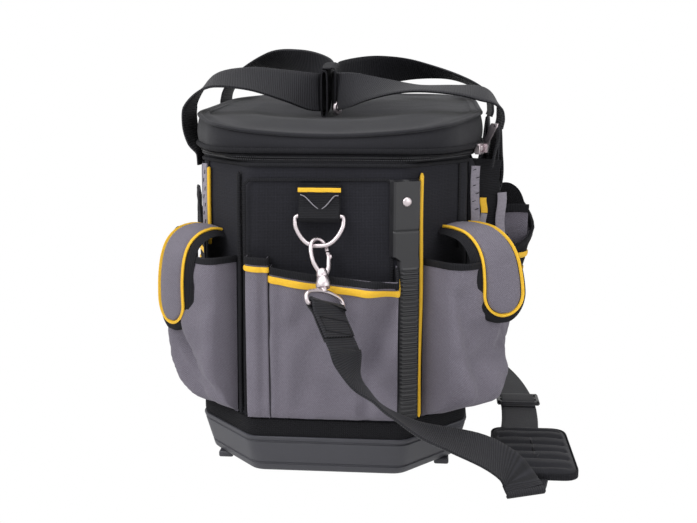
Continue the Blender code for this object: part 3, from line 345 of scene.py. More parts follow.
def curve_through(points, steps):
    """Points on a smooth curve through the given points, of any number of values each."""
    points = [Vector(p) for p in points]
    ends = [2 * points[0] - points[1]] + points + [2 * points[-1] - points[-2]]
    made = []
    for i in range(1, len(ends) - 2):
        a, b, c, d = ends[i - 1:i + 3]
        for step in range(steps):
            t = step / steps
            made.append(((2 * b) + (c - a) * t + (2 * a - 5 * b + 4 * c - d) * t * t
                         + (3 * b - a - 3 * c + d) * t ** 3) / 2)
    made.append(points[-1])
    return made


def even(points, count):
    """Points at even distances along a line of points."""
    lengths = [0.0]
    for a, b in zip(points, points[1:]):
        lengths.append(lengths[-1] + (b - a).length)
    made = []
    at = 0
    for i in range(count):
        goal = lengths[-1] * i / (count - 1)
        while at < len(points) - 2 and lengths[at + 1] < goal:
            at += 1
        span = lengths[at + 1] - lengths[at] or 1.0
        made.append(points[at].lerp(points[at + 1], min(1.0, max(0.0, (goal - lengths[at]) / span))))
    return made


def drift(point, size, seed=0.0):
    """A smooth random value from about -1 to 1, over lumps of a size in metres."""
    return noise.noise(Vector(point) / size + Vector((seed, seed * 0.7, seed * 1.3)))


made_pieces = []


def add_piece(name, mesh, finish, body, slot, replaces=(), sharp=40, blend=None):
    """Put a mesh in the scene as a piece that rides on a body, or, given a blend, as a piece left where it
    stands in the world.
    """
    made = bpy.data.objects.new(name, mesh)
    bpy.context.scene.collection.objects.link(made)
    mesh.materials.append(finish)
    mesh.shade_smooth()
    if sharp:
        mesh.set_sharp_from_angle(angle=math.radians(sharp))
    if blend:
        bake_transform(made)
    else:
        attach(made, body)
    if replaces:
        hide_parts(*replaces)
    made_pieces.append((made, finish, body, slot, replaces, sharp))
    return made


def bm_mesh(name, bm):
    """The finished mesh of a bmesh."""
    mesh = bpy.data.meshes.new(name)
    bm.to_mesh(mesh)
    bm.free()
    return mesh


def tangent_at(path, i):
    """Which way a path runs at one of its points, from the points beside it."""
    return path[min(i + 1, len(path) - 1)] - path[max(i - 1, 0)]


def path_length(path):
    """The length of a line of points."""
    return sum((b - a).length for a, b in zip(path, path[1:]))


def turned_to(along, side, out):
    """The turn that lays a box's own axes along three directions."""
    return Matrix((along, side, out)).transposed().to_4x4()


def add_box(bm, size, place, turn=Matrix.Identity(4)):
    """A box of a size, turned, round a place."""
    made = bmesh.ops.create_cube(bm, size=1.0)["verts"]
    bmesh.ops.scale(bm, verts=made, vec=size)
    bmesh.ops.transform(bm, verts=made, matrix=Matrix.Translation(place) @ turn)


def grid_mesh(name, rows, closed=False, capped=False, thickness=0.0):
    """A skin through rows of points, with its UVs in metres of cloth.

    closed joins each row's ends, capped fills the first and last rows."""
    bm = bmesh.new()
    layout = bm.loops.layers.uv.new("cloth")
    verts = [[bm.verts.new(p) for p in row] for row in rows]
    width = len(rows[0])
    middle = rows[len(rows) // 2]
    u = [0.0]
    for j in range(width if closed else width - 1):
        u.append(u[-1] + (middle[(j + 1) % width] - middle[j]).length)
    v = [0.0]
    column = width // 2
    for low, high in zip(rows, rows[1:]):
        v.append(v[-1] + (high[column] - low[column]).length)
    for i in range(len(rows) - 1):
        for j in range(width if closed else width - 1):
            k = (j + 1) % width
            face = bm.faces.new((verts[i][j], verts[i][k], verts[i + 1][k], verts[i + 1][j]))
            for loop, (a, b) in zip(face.loops, ((j, i), (j + 1, i), (j + 1, i + 1), (j, i + 1))):
                loop[layout].uv = (u[a], v[b])
    if capped:
        for row, flip in ((verts[0], True), (verts[-1], False)):
            face = bm.faces.new(list(reversed(row)) if flip else row)
            for loop in face.loops:
                loop[layout].uv = (loop.vert.co.x, loop.vert.co.y + loop.vert.co.z)
    if thickness:
        thicken(bm, thickness, layout)
    elif closed and capped and bm.calc_volume(signed=True) < 0:
        bmesh.ops.reverse_faces(bm, faces=bm.faces)
    return bm_mesh(name, bm)


def ring_mesh(name, rows):
    """A closed tube through rows of points whose last row meets its first."""
    mesh = grid_mesh(name, rows + [rows[0]], closed=True)
    bm = bmesh.new()
    bm.from_mesh(mesh)
    bmesh.ops.remove_doubles(bm, verts=bm.verts, dist=WELD)
    bmesh.ops.recalc_face_normals(bm, faces=bm.faces)
    if bm.calc_volume(signed=True) < 0:
        bmesh.ops.reverse_faces(bm, faces=bm.faces)
    bm.to_mesh(mesh)
    bm.free()
    return mesh


def thicken(bm, thickness, layout):
    """Give an open skin its cloth's thickness, inward, closed all round."""
    bmesh.ops.recalc_face_normals(bm, faces=bm.faces)
    bm.normal_update()
    outer = list(bm.faces)
    normals = {v: v.normal.copy() for v in bm.verts}
    twin = {v: bm.verts.new(v.co - normals[v] * thickness) for v in list(bm.verts)}
    edges = [e for e in bm.edges if len(e.link_faces) == 1]
    rims = []
    for edge in edges:
        loop = edge.link_loops[0]
        rims.append((loop.vert, loop.link_loop_next.vert, loop[layout].uv.copy(),
                     loop.link_loop_next[layout].uv.copy()))
    for face in outer:
        uvs = [loop[layout].uv.copy() for loop in reversed(face.loops)]
        made = bm.faces.new([twin[loop.vert] for loop in reversed(face.loops)])
        for loop, uv in zip(made.loops, uvs):
            loop[layout].uv = uv
    for a, b, uv_a, uv_b in rims:
        made = bm.faces.new((b, a, twin[a], twin[b]))
        for loop, uv in zip(made.loops, (uv_b, uv_a, uv_a, uv_b)):
            loop[layout].uv = uv


def sweep_mesh(name, path, outs, section, closed=False):
    """A section, as (across, out) points, drawn along a path; outs point out of the tape's face."""
    rows = []
    for i, point in enumerate(path):
        if closed:
            tangent = path[(i + 1) % len(path)] - path[i - 1]
        else:
            tangent = tangent_at(path, i)
        tangent.normalize()
        out = outs[i] - tangent * outs[i].dot(tangent)
        out.normalize()
        across = tangent.cross(out)
        rows.append([point + across * a + out * b for a, b in section])
    if closed:
        rows.append(rows[0])
    mesh = grid_mesh(name, rows, closed=True, capped=not closed)
    bm = bmesh.new()
    bm.from_mesh(mesh)
    if closed:
        bmesh.ops.remove_doubles(bm, verts=bm.verts, dist=WELD)
        if bm.calc_volume(signed=True) < 0:
            bmesh.ops.reverse_faces(bm, faces=bm.faces)
    layout = bm.loops.layers.uv.verify()
    for face in bm.faces:
        for loop in face.loops:
            loop[layout].uv = (loop[layout].uv.y, loop[layout].uv.x)
    bm.to_mesh(mesh)
    bm.free()
    return mesh


def round_section(radius, sides=10, flat=1.0):
    """The section of a wire or of piping, squeezed by a share."""
    return [(radius * math.cos(2 * math.pi * i / sides), radius * flat * math.sin(2 * math.pi * i / sides))
            for i in range(sides)]


def tape_section(width, thickness, parts=8, cup=0.0):
    """The section of flat webbing with round edges, cupped a little across its width."""
    points = []
    half = width / 2 - thickness / 2
    for side in (-1, 1):
        for i in range(parts + 1):
            a = (i / parts * 2 - 1) * half * -side
            points.append((a, side * thickness / 2 + cup * (1 - (a / half) ** 2)))
        points.append((-side * (half + thickness * 0.42), side * thickness * 0.18))
    return points


def make_tray():
    """The moulded tray: flared wall, two grooves, a rolled rim and four feet under the corners."""
    groove = 0.0012
    wall = 0.0030
    floor = TRAY_BOTTOM + 0.0035
    foot_cut = 0.0022

    def flare(z):
        return TRAY_FLARE * (z - TRAY_BOTTOM) / (TRAY_RIM - TRAY_BOTTOM)

    profile = [(TRAY_BOTTOM, -0.0060), (TRAY_BOTTOM, -foot_cut), (TRAY_BOTTOM + 0.0006, -0.0008),
               (TRAY_BOTTOM + 0.0020, 0.0)]
    for base in (0.0130, 0.0360):
        profile += [(base, 0.0), (base + 0.0004, -groove * 0.7), (base + 0.0009, -groove),
                    (base + 0.0016, -groove), (base + 0.0021, -groove * 0.7), (base + 0.0025, 0.0)]
    profile += [(TRAY_RIM - 0.0012, 0.0), (TRAY_RIM - 0.0003, -0.0004), (TRAY_RIM, -0.0010),
                (TRAY_RIM, -wall), (floor + 0.002, -wall), (floor, -wall - 0.002)]
    rows = [[Vector((*p, z)) for p in rounded(octagon(*tray_sizes(flare(z) + out)))]
            for z, out in profile]
    add_piece("moulded_tray", grid_mesh("moulded_tray", rows, closed=True, capped=True), tray_plastic,
              "bag", "tray_plastic", ["base_tray"], sharp=50)

    foot_y = BASE_HALF_LENGTH - CUT_ALONG
    foot_x = BASE_HALF_WIDTH - 0.014
    foot_size = (0.0138, 0.0298, TRAY_BOTTOM)
    bm = bmesh.new()
    for sx, sy in ((-1, -1), (1, -1), (1, 1), (-1, 1)):
        add_box(bm, foot_size, Vector((sx * foot_x, sy * foot_y, TRAY_BOTTOM / 2)))
    bmesh.ops.bevel(bm, geom=list(bm.edges), offset=0.0018, segments=3, affect="EDGES", profile=0.5)
    add_piece("tray_feet", bm_mesh("tray_feet", bm), tray_plastic, "bag", "tray_plastic")


def wall_rows(heights, offset, softness=0.0):
    """Rows round the body at the heights, drawn in here and there as soft cloth is."""
    rows = []
    for z in heights:
        row = []
        for p in rounded(octagon(*body_sizes(z, offset))):
            point = Vector((*p, z))
            dent = softness * (0.5 + 0.5 * drift(point, 0.05) + 0.3 * drift(point, 0.015, 3.0))
            toward = Vector((p.x, p.y, 0.0)).normalized()
            row.append(point - toward * max(0.0, dent))
        rows.append(row)
    return rows


def make_body():
    """Black walls, the coarse band over the tray, the lining and the stiff floor board."""
    floor = TRAY_BOTTOM + 0.0038
    heights = [floor] + [TRAY_RIM + (BODY_TOP - TRAY_RIM) * i / 40 for i in range(41)]
    rows = wall_rows(heights, -0.0002, 0.0009)
    rows += wall_rows([BODY_TOP - 0.0004], -0.0028)
    rows += wall_rows([heights[1]], -0.0030)
    add_piece("fabric_walls", grid_mesh("fabric_walls", rows, closed=True, capped=True), ripstop,
              "bag", "black_fabric", ["body_shell"])

    lining_low, lining_high = 0.0150, 0.2695
    inside = [lining_low + (lining_high - lining_low) * i / 24 for i in range(25)]
    rows = wall_rows(inside, -0.0036, 0.0006) + wall_rows([0.2697], -0.0050)
    rows += [list(row) for row in reversed(wall_rows(inside, -0.0052))]
    add_piece("nylon_lining", ring_mesh("nylon_lining", rows), lining,
              "bag", "grey_fabric", ["wall_lining"])

    low = TRAY_RIM + 0.0002
    band = [(low, 0.0002), (low, 0.0016), (low + 0.0040, 0.0022), (low + 0.0100, 0.0023),
            (low + 0.0146, 0.0014), (low + 0.0152, 0.0002)]
    rows = [[Vector((*p, z)) for p in rounded(octagon(*body_sizes(z, out)))] for z, out in band]
    add_piece("coarse_band", ring_mesh("coarse_band", rows), coarse, "bag",
              "black_fabric", ["base_band"])

    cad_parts["bottom_board"].data.materials.clear()
    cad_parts["bottom_board"].data.materials.append(board)


def seam_line(name, points, outs, finish=binding, width=0.0030):
    """A low flat welt where two cloths are sewn together; in pale thread it also draws a painted highlight
    along a fold.
    """
    section = tape_section(width, 0.0010, 3)
    return add_piece(name, sweep_mesh(name, points, outs, section), finish, "bag", "black_fabric")


def make_wall_seams():
    """The end's inner panel outlined by its seam, and the seams down the chamfers."""
    top = 0.2705
    corners = [(-0.0728, 0.0600), (-0.0728, top - 0.004), (-0.0688, top), (0.0520, top + 0.0010),
               (0.0562, top - 0.0040), (0.0562, 0.0600)]
    outline = []
    for a, b in zip(corners, corners[1:]):
        outline += [Vector(a).lerp(Vector(b), i / 12) for i in range(12)]
    outline.append(Vector(corners[-1]))
    path = [front(x, z, 0.0004) for x, z in outline]
    seam_line("front_panel_seam", path, [outward(0)] * len(path))
    for name, face, along in (("front_right_wall_seam", 1, 0.0690), ("front_left_wall_seam", 7, 0.0110)):
        path = [spot(face, along, 0.205 + 0.077 * i / 16, 0.0004) for i in range(17)]
        seam_line(name, path, [outward(face)] * len(path))


def lid_height(x, y):
    """Height of the lid's top: rising to the rear, sagging in front and under the grips."""
    edge = LID_MIDDLE + LID_SLOPE * y
    front_share = max(0.0, min(1.0, (LID_SAG_START - y) / LID_SAG_RUN))
    across = min(1.0, (x / LID_SAG_HALF) ** 2)
    drop = LID_CORNER_DROP + LID_FRONT_SAG * (1 - across)
    drop = drop * front_share * front_share * (3 - 2 * front_share)
    dish = math.exp(-((x - DISH_X) / DISH_ACROSS) ** 2 - ((y - DISH_Y) / DISH_ALONG) ** 2)
    return edge - drop - LID_DISH * dish


def make_lid():
    """The padded lid: upright side band, sewn edge and a quilted top that sags between its seams."""
    def row(inset, z_at, scale=1.0):
        return [Vector((p.x * scale, p.y * scale, z_at(p.x * scale, p.y * scale)))
                for p in rounded(octagon(*lid_sizes(inset)), LID_ROUND)]

    def quilt(x, y):
        """The foam swells between the outer seam and a ridge that follows it further in."""
        reach = max(abs(x) / LID_HALF_WIDTH, abs(y) / LID_HALF_LENGTH,
                    (abs(x) / LID_HALF_WIDTH + abs(y) / LID_HALF_LENGTH) / 1.63)
        ridge = math.exp(-((reach - 0.66) / 0.05) ** 2)
        dip = math.exp(-((reach - 0.86) / 0.08) ** 2)
        lump = 0.0012 * drift((x, y, 0.0), 0.06) + 0.0005 * drift((x, y, 0.0), 0.02, 5.0)
        return lid_height(x, y) + 0.0012 * ridge - 0.0016 * dip + lump

    def side(x, y, share):
        top = lid_height(x, y) - 0.0030
        return LID_BOTTOM + (top - LID_BOTTOM) * share

    rows = [row(0.0030, lambda x, y: LID_BOTTOM + 0.0010)]
    for share in [i / 10 for i in range(11)]:
        swell = 0.0008 - 0.0024 * math.sin(math.pi * share)
        rows.append(row(swell, lambda x, y, s=share: side(x, y, s)))
    for inset, drop in ((-0.0010, 0.0022), (-0.0012, 0.0010), (0.0002, -0.0004), (0.0022, -0.0002),
                        (0.0038, 0.0012), (0.0060, 0.0006), (0.0095, -0.0002)):
        rows.append(row(inset, lambda x, y, d=drop: lid_height(x, y) - d))
    for scale in [0.96 - 0.04 * i for i in range(24)]:
        rows.append(row(0.0050, quilt, scale))
    mesh = grid_mesh("padded_lid", rows, closed=True)
    bm = bmesh.new()
    bm.from_mesh(mesh)
    layout = bm.loops.layers.uv.verify()
    bm.verts.ensure_lookup_table()
    last = [bm.verts[len(rows[0]) * (len(rows) - 1) + j] for j in range(len(rows[0]))]
    bm.faces.new(last)
    for face in bm.faces:
        flat = abs(face.normal.z) > 0.6 or len(face.verts) > 4
        for loop in face.loops:
            if flat:
                loop[layout].uv = (loop.vert.co.x, loop.vert.co.y)
    bmesh.ops.recalc_face_normals(bm, faces=bm.faces)
    if sum(f.normal.z * f.calc_area() for f in bm.faces) < 0:
        bmesh.ops.reverse_faces(bm, faces=bm.faces)
    bm.to_mesh(mesh)
    bm.free()
    padded = add_piece("padded_lid", mesh, oxford, "lid", "lid_fabric", ["lid_shell"], sharp=55)

    stiffener = [row(0.0120, lambda x, y: lid_height(x, y) - 0.0062, scale)
                 for scale in (1.0, 0.9, 0.7, 0.4, 0.001)]
    add_piece("lid_stiffener", grid_mesh("lid_stiffener", stiffener, closed=True, thickness=0.0016), board,
              "lid",
              "black_plastic", ["lid_board"])
    inner = [row(0.0032, lambda x, y: LID_BOTTOM + 0.0002),
             row(0.0034, lambda x, y: lid_height(x, y) - 0.0125),
             row(0.0060, lambda x, y: lid_height(x, y) - 0.0085)]
    inner += [row(0.0050, lambda x, y: lid_height(x, y) - 0.0082, scale) for scale in (0.9, 0.6, 0.3, 0.001)]
    add_piece("lid_lining", grid_mesh("lid_lining", inner, closed=True, capped=False, thickness=0.0006),
              lining, "lid", "grey_fabric")


def make_zip():
    """Two zip tapes that bulge toward each other, the coils' teeth and the lid's binding."""
    lower = BODY_TOP + 0.0002
    teeth_z = LID_BOTTOM - 0.0042

    def mixed(share, inset, z, push=0.0):
        body = rounded(octagon(*body_sizes(BODY_TOP, -inset + push)),
                       CORNER_RADIUS + (LID_ROUND - CORNER_RADIUS)
                       * share)
        lid = rounded(octagon(*lid_sizes(inset - push)), LID_ROUND)
        return [Vector((*(b * (1 - share) + c * share), z)) for b, c in zip(body, lid)]

    low = [mixed(0.0, 0.0006, lower), mixed(0.15, 0.0, lower + 0.0010), mixed(0.35, 0.0, lower + 0.0024),
           mixed(0.45, 0.0008, lower + 0.0030), mixed(0.45, 0.0050, lower + 0.0030),
           mixed(0.0, 0.0060, lower + 0.0004)]
    add_piece("lower_zip_tape", ring_mesh("lower_zip_tape", low), binding,
              "bag", "black_fabric", ["zip_tape_lower"])
    high = [mixed(0.55, 0.0008, teeth_z + 0.0006), mixed(0.75, 0.0, teeth_z + 0.0012),
            mixed(1.0, 0.0, LID_BOTTOM - 0.0010), mixed(1.0, 0.0020, LID_BOTTOM + 0.0004),
            mixed(1.0, 0.0060, LID_BOTTOM), mixed(0.6, 0.0060, teeth_z + 0.0010)]
    add_piece("upper_zip_tape", ring_mesh("upper_zip_tape", high), binding,
              "lid", "black_fabric", ["zip_tape_upper"])

    pitch = 0.0019
    tooth_size = (0.0010, 0.0014, 0.0011)
    for name, z, body, share in (("lower_zip_teeth", lower + 0.0029, "bag", 0.42),
                                 ("upper_zip_teeth", teeth_z + 0.0012, "lid", 0.60)):
        ring = mixed(share, 0.0, z)
        loop = ring + [ring[0]]
        places = even(loop, int(path_length(loop) / pitch))
        bm = bmesh.new()
        for a, b in zip(places, places[1:]):
            middle = (a + b) / 2
            along = (b - a).normalized()
            out = Vector((along.y, -along.x, 0.0))
            add_box(bm, tooth_size, middle + out * 0.0004, turned_to(along, out, UP))
        add_piece(name, bm_mesh(name, bm), zip_coil, body, "black_plastic")

    for name, rim, radius, body in (("lid_edge_binding", mixed(1.0, -0.0006, LID_BOTTOM + 0.0026), 0.0026,
                                     "lid"),
                                    ("body_edge_binding", mixed(0.0, 0.0, BODY_TOP - 0.0016), 0.0019, "bag")):
        outs = [Vector((p.x, p.y, 0.0)).normalized() for p in rim]
        add_piece(name, sweep_mesh(name, rim, outs, round_section(radius, 10), closed=True), binding, body,
                  "black_fabric")


POUCH_PROFILE = [(0, 0), (0, 0.62), (0.12, 0.94), (0.35, 1.0), (0.65, 1.0), (0.88, 0.94), (1, 0.62), (1, 0)]


class Pocket:
    """A sewn pocket's cloth: a point for each share along its mouth and up its height.

    creases are (from, to, depth, width): sharp folds between two places given in those shares."""

    def __init__(self, face, start, end, bottom, top_at, depths, creases=(), lumps=0.0012, seed=0.0,
                 profile=POUCH_PROFILE, flare=None):
        self.face, self.start, self.end, self.bottom = face, start, end, bottom
        self.top_at, self.creases, self.lumps, self.seed = top_at, creases, lumps, seed
        self.profile = even(curve_through(profile, 8), 61)
        self.flare = flare
        self.depths = even_by_x(depths, 60)

    def point(self, t, s, lift=0.0, down=0.0):
        place = self.plain(t, s, down)
        if not lift:
            return place
        return place + self.normal(t, s, down) * lift

    def normal(self, t, s, down=0.0):
        step = 0.01
        along = self.plain(min(1, t + step), s, down) - self.plain(max(0, t - step), s, down)
        up = self.plain(t, min(1, s + step), down) - self.plain(t, max(0, s - step), down)
        return along.cross(up).normalized()

    def plain(self, t, s, down=0.0):
        at = t * (len(self.profile) - 1)
        low = min(int(at), len(self.profile) - 2)
        a, d = self.profile[low].lerp(self.profile[low + 1], at - low)
        a = min(1.0, max(0.0, a))
        top = self.top_at(a, d)
        s = s - down / (top - self.bottom)
        depth_at = min(1.0, max(0.0, s)) * (len(self.depths) - 1)
        low = min(int(depth_at), len(self.depths) - 2)
        depth = self.depths[low] + (self.depths[low + 1] - self.depths[low]) * (depth_at - low)
        if self.flare:
            depth += self.flare(a, min(1.0, max(0.0, s)))
        width = self.end - self.start
        height = top - self.bottom
        z = self.bottom + s * height
        along = self.start + a * width
        fold = 0.0
        for (a0, s0), (a1, s1), deep, wide in self.creases:
            fold -= crease((a * width, s * height), (a0 * width, s0 * height), (a1 * width, s1 * height),
                           wide) * deep
        rest = Vector((along, z, self.seed))
        fold += self.lumps * (drift(rest, 0.035, self.seed) + 0.5 * drift(rest, 0.012, self.seed + 7))
        calm = min(1.0, (1.0 - s) / 0.06 + 0.15) * min(1.0, d * 2.5)
        out = GAP + d * depth + fold * calm
        return spot(self.face, along, z, max(GAP * 2, out))


def even_by_x(points, count):
    """A smooth line's second values at even steps of its first value."""
    fine = curve_through(points, 12)
    made = []
    at = 0
    for i in range(count):
        x = points[0][0] + (points[-1][0] - points[0][0]) * i / (count - 1)
        while at < len(fine) - 2 and fine[at + 1].x < x:
            at += 1
        a, b = fine[at], fine[at + 1]
        share = (x - a.x) / (b.x - a.x) if b.x > a.x else 0.0
        made.append(a.y + (b.y - a.y) * min(1.0, max(0.0, share)))
    return made


def crease(place, start, end, width):
    """How deep in a crease a place is, from 0 to 1; the fold's far side swells a little."""
    p, a, b = Vector(place), Vector(start), Vector(end)
    line = b - a
    share = min(1.0, max(0.0, (p - a).dot(line) / line.length_squared))
    gap = (p - a - line * share).length / width
    fade = min(1.0, 4 * share + 0.3, 4 * (1 - share) + 0.3)
    return (math.exp(-gap * gap) - 0.35 * math.exp(-((gap - 1.9) / 0.9) ** 2)) * fade


def sew_pocket(name, pocket, finish, replaces, across=56, up=40, tape=0.0080, strip=None):
    """The pocket's cloth, its mouth binding and, where there is one, the yellow strip under it."""
    rows = [[pocket.point(j / across, (i / up) ** 0.85) for j in range(across + 1)] for i in range(up + 1)]
    rows.insert(0, [spot_near_wall(p, pocket.face) for p in rows[0]])
    mesh = grid_mesh(name, rows, thickness=POCKET_WALL)
    add_piece(name, mesh, finish, "bag", "grey_fabric", replaces, sharp=60)
    steps = 64
    shares = [i / steps for i in range(steps + 1)]
    path = [pocket.point(t, 1.0, -POCKET_WALL / 2, down=tape / 2 - 0.0008) for t in shares]
    outs = [pocket.normal(t, 1.0, down=tape / 2) for t in shares]
    add_piece(name + "_binding", sweep_mesh(name + "_binding", path, outs,
                                            tape_section(tape, POCKET_WALL + 0.0016, 4)),
              binding, "bag", "black_fabric")
    if strip:
        first, last, height = strip
        shares = [first + (last - first) * i / steps for i in range(steps + 1)]
        drop = tape + height / 2 - 0.0006
        path = [pocket.point(t, 1.0, 0.0006, down=drop) for t in shares]
        outs = [pocket.normal(t, 1.0, down=drop) for t in shares]
        add_piece(name + "_yellow_strip", sweep_mesh(name + "_yellow_strip", path, outs,
                                                     tape_section(height, 0.0013, 3, cup=0.0004)),
                  yellow_tape, "bag", "yellow_trim")


def spot_near_wall(point, face):
    """A point moved back to the wall behind it."""
    out = outward(face)
    wall = spot(face, 0.0, point.z, GAP * 2)
    return point - out * (point - wall).dot(out)


def end_place(x):
    """Distance along the front wall for an x."""
    half_width, _, across, _ = body_sizes(POCKET_BOTTOM)
    return x + half_width - across


def make_end_pockets():
    """The pleated main pocket and the narrow pocket at its left."""
    def main_top(a, d):
        gusset = max(0.0, (a - 0.97) / 0.03) * max(0.0, 1 - d / 0.62)
        sag = -0.0016 * math.sin(math.pi * a)
        return 0.1968 - 0.0108 * a + 0.0230 * gusset + sag

    main_profile = [(0, 0), (0.0, 0.5), (0.06, 0.84), (0.30, 0.95), (0.62, 1.0), (0.90, 1.12), (1, 1.0),
                    (0.985, 0)]
    main = Pocket(0, end_place(-0.0500), end_place(0.0625), POCKET_BOTTOM, main_top,
                  [(0, 0.0010), (0.05, 0.0060), (0.2, 0.0085), (0.5, 0.0120), (0.8, 0.0150), (1, 0.0165)],
                  creases=[((0.97, 0.97), (0.74, 0.30), 0.0120, 0.0105),
                           ((0.74, 0.34), (0.755, 0.0), 0.0046, 0.0048),
                           ((0.09, 0.98), (0.08, 0.02), 0.0018, 0.0045),
                           ((0.40, 0.95), (0.17, 0.55), 0.0020, 0.0080),
                           ((0.42, 0.70), (0.20, 0.05), 0.0018, 0.0080),
                           ((0.34, 0.30), (0.72, 0.14), 0.0036, 0.0085),
                           ((0.10, 0.08), (0.66, 0.05), 0.0012, 0.0050)],
                  lumps=0.0016, seed=1.0, profile=main_profile)
    sew_pocket("front_main_pocket_cloth", main, grey_cloth, ["front_main_pocket"], strip=(0.10, 0.93, 0.0066),
               across=70, up=48)
    small_profile = [(0, 0), (0.0, 0.62), (0.16, 0.92), (0.45, 1.0), (0.75, 1.0), (0.97, 0.9), (1, 0.55),
                     (1, 0)]
    small = Pocket(0, end_place(-0.0712), end_place(-0.0508), POCKET_BOTTOM,
                   lambda a, d: 0.2052 - 0.0012 * a,
                   [(0, 0.0010), (0.06, 0.0060), (0.3, 0.0085), (0.7, 0.0115), (1, 0.0125)],
                   creases=[((0.80, 0.98), (0.72, 0.03), 0.0022, 0.0035)], lumps=0.0008, seed=2.0,
                   profile=small_profile)
    sew_pocket("front_small_pocket_cloth", small, grey_cloth, ["front_small_pocket"],
               strip=(0.16, 0.86, 0.0052), across=30, up=44)


def chamfer_place(face, along):
    """Distance along a chamfer, read from the end wall on both sides."""
    _, _, across, along_cut = body_sizes(0.2000)
    return along if face == 1 else math.hypot(across, along_cut) - along


def make_corner_pockets():
    """The deep pockets on the chamfers, baggy at the foot, and their padded flaps."""
    full = [(0, 0.0020), (0.05, 0.0280), (0.12, 0.0450), (0.24, 0.0500), (0.40, 0.0465), (0.60, 0.0450),
            (0.80, 0.0460), (1, 0.0462)]
    slack = [(0, 0.0020), (0.05, 0.0170), (0.12, 0.0270), (0.24, 0.0330), (0.40, 0.0355), (0.60, 0.0370),
             (0.80, 0.0365), (1, 0.0325)]
    for name, depths, face, seed in (("front_right", full, 1, 3.0), ("front_left", slack, 7, 4.0)):
        ends = sorted((chamfer_place(face, 0.0225), chamfer_place(face, 0.0935)))
        if face == 1:
            creases = [((0.14, 0.86), (0.20, 0.42), 0.0080, 0.0090),
                       ((0.20, 0.44), (0.44, 0.12), 0.0050, 0.0090),
                       ((0.34, 0.66), (0.50, 0.34), 0.0070, 0.0110),
                       ((0.95, 0.60), (0.70, 0.42), 0.0050, 0.0080),
                       ((0.05, 0.10), (0.45, 0.02), 0.0034, 0.0060),
                       ((0.75, 0.25), (0.95, 0.05), 0.0030, 0.0070)]
        else:
            creases = [((0.88, 0.80), (0.80, 0.35), 0.0040, 0.0090),
                       ((0.80, 0.36), (0.97, 0.05), 0.0034, 0.0070),
                       ((0.34, 0.52), (0.84, 0.10), 0.0085, 0.0095),
                       ((0.22, 0.40), (0.72, 0.06), 0.0050, 0.0055),
                       ((0.40, 0.42), (0.52, 0.36), 0.0030, 0.0035),
                       ((0.48, 0.36), (0.60, 0.30), 0.0030, 0.0035),
                       ((0.56, 0.28), (0.68, 0.22), 0.0030, 0.0035),
                       ((0.05, 0.40), (0.30, 0.10), 0.0040, 0.0060)]
        raised = 0.0 if face == 1 else 0.0190
        pocket = Pocket(face, ends[0], ends[1], POCKET_BOTTOM,
                        lambda a, d, r=raised: 0.2010 + r * max(0.0, (0.24 - a) / 0.24), depths, creases,
                        lumps=0.0030, seed=seed)
        sew_pocket(f"{name}_pocket_cloth", pocket, grey_cloth, [f"{name}_pocket"], across=64, up=52,
                   tape=0.0075)
        middle = (ends[0] + ends[1]) / 2 + (0.0065 if face == 1 else -0.0065)
        make_flap(name, face, middle, FLAP_PROFILE if face == 1 else SLACK_FLAP_PROFILE)


FLAP_HALF = 0.0275
FLAP_PROFILE = [(0.0012, 0.2256), (0.0130, 0.2262), (0.0290, 0.2238), (0.0415, 0.2155), (0.0490, 0.2030),
                (0.0520, 0.1860), (0.0525, 0.1680), (0.0515, 0.1540), (0.0505, 0.1450)]
SLACK_FLAP_PROFILE = [(0.0012, 0.2200), (0.0110, 0.2220), (0.0240, 0.2196), (0.0345, 0.2115),
                      (0.0405, 0.1985),
                      (0.0432, 0.1810), (0.0436, 0.1630), (0.0430, 0.1460), (0.0425, 0.1300)]


